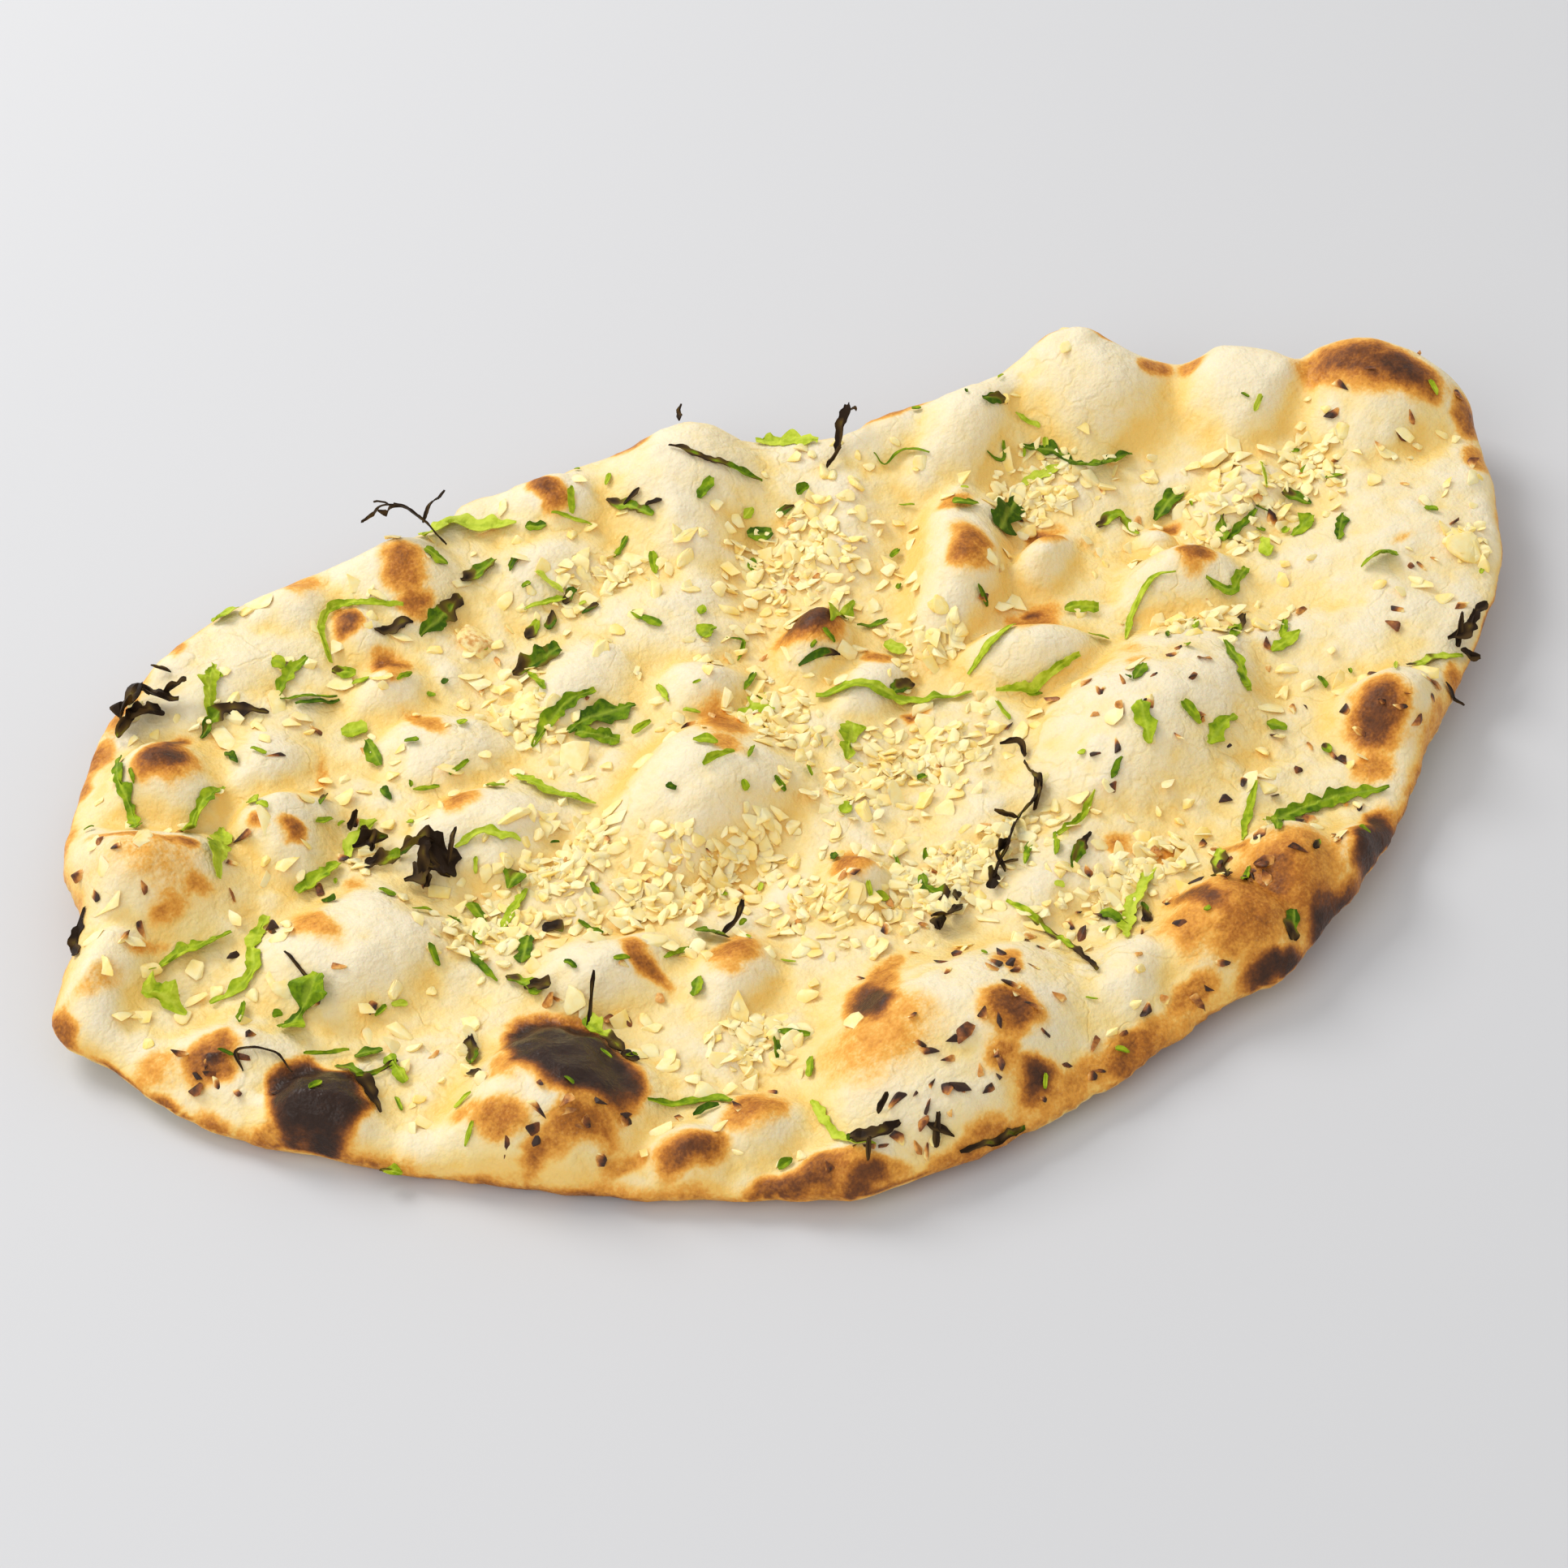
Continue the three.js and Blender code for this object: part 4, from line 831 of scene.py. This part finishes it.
# Coriander that the oven burned to curls and twigs, in the order of its nodes, then smaller bits.
# The third value of a point is its height over the bread.
CHARRED = [
    (9, .9, .95, (-125, 78, 2), (-119, 82, 3), (-112, 78, 1)),
    (3.5, 1, .95, (-96, 31), (-96, 27, 1), (-98, 22, 2)),
    (8, .9, .9, (-96, 13), (-90, 12, 2), (-84, 12)),
    (2.5, .9, .85, (25, -26), (22, -35), (15, -38), (8, -44), (1, -49)),
    (4, .9, .95, (-8, -50), (-11, -52, 1), (-15, -51, 2)),
    (3.5, 1, 1, (117, -48), (121, -49, 1), (126, -46, 2)),
    (3.4, .9, .9, (-60, -90), (-56, -93, 1), (-51, -93)),
    (2.5, 1, 1, (-43, 90), (-46, 94, 4), (-51, 97, 9)),
    (2.5, 1, 1, (42, 68), (45, 71, 3), (48, 73, 7)),
]
CURLS = [
    (4, 1, 1, (-123, 80, 1), (-120, 77, 3), (-116, 78, 1)),
    (3, .9, .8, (-127, 76), (-124, 77, 2), (-121, 80, 2)), (3, 1, 1, (-114, 81, 1), (-109, 80, 3)),
    (2, 1, 1, (-98, 32), (-95, 34, 2)), (3, .9, .8, (-100, 27, 1), (-93, 25, 1)),
    (4, .9, .7, (-94, 20), (-89, 17, 2), (-86, 13)), (3, 1, 1, (-93, 9, 1), (-90, 15, 4), (-86, 16, 1)),
    (4, .9, .6, (-100, 22), (-94, 18, 1)), (3, 1, 1, (-88, 10, 1), (-83, 15, 3)),
    (2, .9, .9, (-92, 14, 3), (-88, 9, 1)), (1.2, 1, 1, (-51, 97, 9), (-55, 99, 11), (-58, 99, 10)),
    (1.2, 1, 1, (-50, 96, 8), (-53, 101, 10)), (1.2, 1, 1, (-46, 94, 4), (-42, 98, 7), (-37, 101, 8)),
    (1, 1, 1, (-52, 97, 9), (-56, 96, 11)), (2, 1, 1, (16, 91), (17, 93, 3), (18, 94, 7)),
    (1.4, 1, 1, (26, -25), (27, -21, 1), (24, -19, 1)), (3, .9, .8, (24, -31), (22, -35, 1), (19, -38)),
    (3, .9, .8, (10, -42), (5, -45, 1), (4, -49)), (1.6, .9, .9, (15, -38), (12, -34, 1)),
    (3, .9, .8, (3, -47), (-1, -51, 1)), (2.6, 1, .9, (-6, -47), (-9, -51, 3)),
    (3, .9, .8, (-13, -50), (-15, -54, 1)), (1.2, .9, .9, (4, -46), (7, -49, 1)),
    (2, 1, 1, (118, -50), (122, -46, 3)), (2, 1, 1, (126, -46, 2), (130, -45, 3)),
    (2, 1, .9, (-58, -93, 1), (-60, -96)), (2, 1, 1, (-54, -90, 1), (-51, -89, 2)),
    (1.2, 1, 1, (47, 72, 5), (51, 74, 6)), (1.4, 1, .9, (38, 66), (43, 68, 1)),
]


CURVE_STEPS = 80
FEWEST_STEPS = 6


def steps_along(path, step):
    """Even steps along a smooth curve through a path, as rows of x, y and height over the bread."""
    corners = np.array([(*point, 0)[:3] for point in path], float)
    ends = np.vstack([2 * corners[0] - corners[1], corners, 2 * corners[-1] - corners[-2]])
    index = np.linspace(0, len(corners) - 1, CURVE_STEPS)
    i = np.minimum(index.astype(int), len(corners) - 2)
    f = (index - i)[:, None]
    a, b, c, d = (ends[i + k] for k in range(4))
    line = 0.5 * (2 * b + (c - a) * f + (2 * a - 5 * b + 4 * c - d) * f**2 + (3 * b - a - 3 * c + d) * f**3)
    run = np.concatenate([[0], np.cumsum(np.linalg.norm(np.diff(line, axis=0), axis=1))])
    even = np.linspace(0, run[-1], max(FEWEST_STEPS, round(run[-1] / step)))
    return np.column_stack([np.interp(even, run, line[:, k]) for k in range(3)]), run[-1]


LEAF_STEP = 0.5
FACES_ACROSS = 6
OVER_BREAD = 0.35
LEAST_OVER_BREAD = 0.25


def add_ribbons(name, pieces, draw, thickness, wave, curl):
    """An object of thin ragged ribbons on the bread; wave and curl lift them, in mm and as a share."""
    ribbons_bm = bmesh.new()
    tones, burns, veins = [], [], []
    for width, green, burnt, *path in pieces:
        middle, length = steps_along(path, LEAF_STEP)
        grid = bmesh.ops.create_grid(
            ribbons_bm, x_segments=len(middle) - 1, y_segments=FACES_ACROSS, size=1
        )["verts"]
        spots = np.array([vertex.co[:2] for vertex in grid])
        along, across = (spots[:, 0] + 1) / 2, spots[:, 1]
        ahead = np.gradient(middle[:, :2], axis=0)
        ahead /= np.linalg.norm(ahead, axis=1, keepdims=True)
        steps = np.linspace(0, 1, len(middle))
        cx, cy, rise, ax, ay = (np.interp(along, steps, v) for v in (*middle.T, *ahead.T))
        side = np.sign(across) * 40 + draw.uniform(0, 900)
        run = along * length
        tip = draw.uniform(0.15, 0.6, 2)
        ends = np.minimum(tip[0] + 3 * along, 1) * np.minimum(tip[1] + 3 * (1 - along), 1)
        teeth = np.abs(2 * ((run / (0.7 * width + 0.6) + side / 97) % 1) - 1)
        ragged = (0.32 + 0.04 * width) * soft_noise(run, side, 2.4, 41)
        ragged = ragged + 0.22 * soft_noise(run, side, 0.9, 42)
        bite = np.clip(0.11 * width - 0.12, 0.08, 0.42)
        lobes = 0.74 + bite * (teeth - 0.5) + ragged
        half = width / 2 * ends * np.clip(lobes, 0.2, 1.6)
        lean = draw.uniform(-1, 1) * curl
        lean = lean + 0.5 * curl * soft_noise(run, np.full_like(run, 90 * tip[0]), 5, 43)
        shift = across * half * np.cos(lean)
        x = cx - ay * shift
        y = cy + ax * shift
        lifted = half * (across * np.sin(lean) + np.abs(np.sin(lean)))
        ripple = wave * (1 + soft_noise(run, np.full_like(run, 90 * tip[1]), 2.4, 44))
        ripple = ripple * (0.5 + 0.5 * across**2)
        z = 0.6 * top_height(x, y) + 0.4 * top_height(cx, cy) + OVER_BREAD + rise + lifted + ripple
        z = np.maximum(z, top_height(x, y) + LEAST_OVER_BREAD)
        for vertex, *place in zip(grid, x, y, z):
            vertex.co = Vector(place) * MM
        tones.append(np.clip(green + draw.normal(0, 0.18) + 0.28 * soft_noise(run, side, 2, 45), 0, 1))
        patchy = 0.45 * soft_noise(run, across * 2, 2.2, 46) + 0.25 * np.abs(across)
        at_tip = (along if draw.uniform() < 0.5 else 1 - along) - 0.5
        spread = 0.8 * burnt if burnt > 0.8 else burnt + 0.7 * at_tip
        burns.append(np.clip(spread + patchy * 0.8, 0, 1) if burnt > 0 else np.zeros(len(grid)))
        veins.append(np.exp(-(across / 0.16)**2) * (width > 2.8))
    mesh = bpy.data.meshes.new(name)
    ribbons_bm.to_mesh(mesh)
    ribbons_bm.free()
    mesh.shade_flat()
    set_attribute(mesh, "tone", np.concatenate(tones))
    set_attribute(mesh, "burnt", np.concatenate(burns))
    set_attribute(mesh, "vein", np.concatenate(veins))
    ribbons = bpy.data.objects.new(name, mesh)
    bpy.context.scene.collection.objects.link(ribbons)
    solid = ribbons.modifiers.new("thickness", "SOLIDIFY")
    solid.thickness = thickness * MM
    solid.offset = 0
    return ribbons


# The leaves' finish: from yellow-green to deep green, with a paler vein, and olive to black where burnt.
leaf_material, leaf_tree, leaf_shader = new_material("coriander")
leaf_tone = mottled(leaf_tree, "tone", 900, 0.15)
leaf_green = colour_ramp(leaf_tree, leaf_tone, [
    (0.0, (0.56, 0.64, 0.060)),
    (0.3, (0.36, 0.46, 0.016)),
    (0.65, (0.15, 0.25, 0.006)),
    (1.0, (0.042, 0.095, 0.004)),
])
vein_share = math(leaf_tree, "MULTIPLY", attribute_value(leaf_tree, "vein"), 0.45)
leaf_veined = mix_colour(leaf_tree, vein_share, leaf_green, (0.46, 0.56, 0.06, 1))
how_burnt = attribute_value(leaf_tree, "burnt")
leaf_burnt = colour_ramp(leaf_tree, how_burnt, [
    (0.45, (0.17, 0.13, 0.012)),
    (0.65, (0.080, 0.045, 0.014)),
    (0.9, (0.022, 0.012, 0.006)),
])
leaf_colour = mix_colour(leaf_tree, remapped(leaf_tree, how_burnt, 0.38, 0.5), leaf_veined, leaf_burnt)
leaf_tree.links.new(leaf_colour, leaf_shader.inputs["Base Color"])
leaf_shader.inputs["Roughness"].default_value = 0.5
leaf_shader.inputs["Specular IOR Level"].default_value = 0.06

HERB_BITS = 80
leaf_draw = np.random.default_rng(8)
herb_places = scatter(HERB_BITS, leaf_draw, lambda x, y: 0.5 + 0.4 * np.sin(x / 17 + 1) * np.sin(y / 13))
herb_bits = []
for x, y in herb_places:
    turn, length = leaf_draw.uniform(0, pi), leaf_draw.uniform(1.2, 3.4)
    half_x, half_y = length * cos(turn) / 2, length * sin(turn) / 2
    width, green = leaf_draw.uniform(0.8, 2.0), leaf_draw.uniform(0.1, 0.9)
    herb_bits.append((width, green, 0, (x - half_x, y - half_y), (x + half_x, y + half_y)))
large_leaves = add_ribbons("coriander", CORIANDER, leaf_draw, 0.15, 0.45, 0.6)
small_leaves = add_ribbons("coriander_bits", SHREDS + herb_bits, leaf_draw, 0.15, 0.35, 0.5)
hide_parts(*[f"coriander_{number:02d}" for number in range(1, 36)])
charred_draw = np.random.default_rng(12)
charred_leaves = add_ribbons("charred_coriander", CHARRED, charred_draw, 0.25, 0.7, 1.0)
charred_curls = add_ribbons("charred_curls", CURLS, charred_draw, 0.25, 0.5, 1.2)
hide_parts(*[f"charred_{number:02d}" for number in range(1, 10)])
leaf_slots = [
    (large_leaves, "leaf"), (small_leaves, "leaf"), (charred_leaves, "char"), (charred_curls, "char"),
]
for leaves, slot in leaf_slots:
    leaves.data.materials.append(leaf_material)
    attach(leaves, "root")
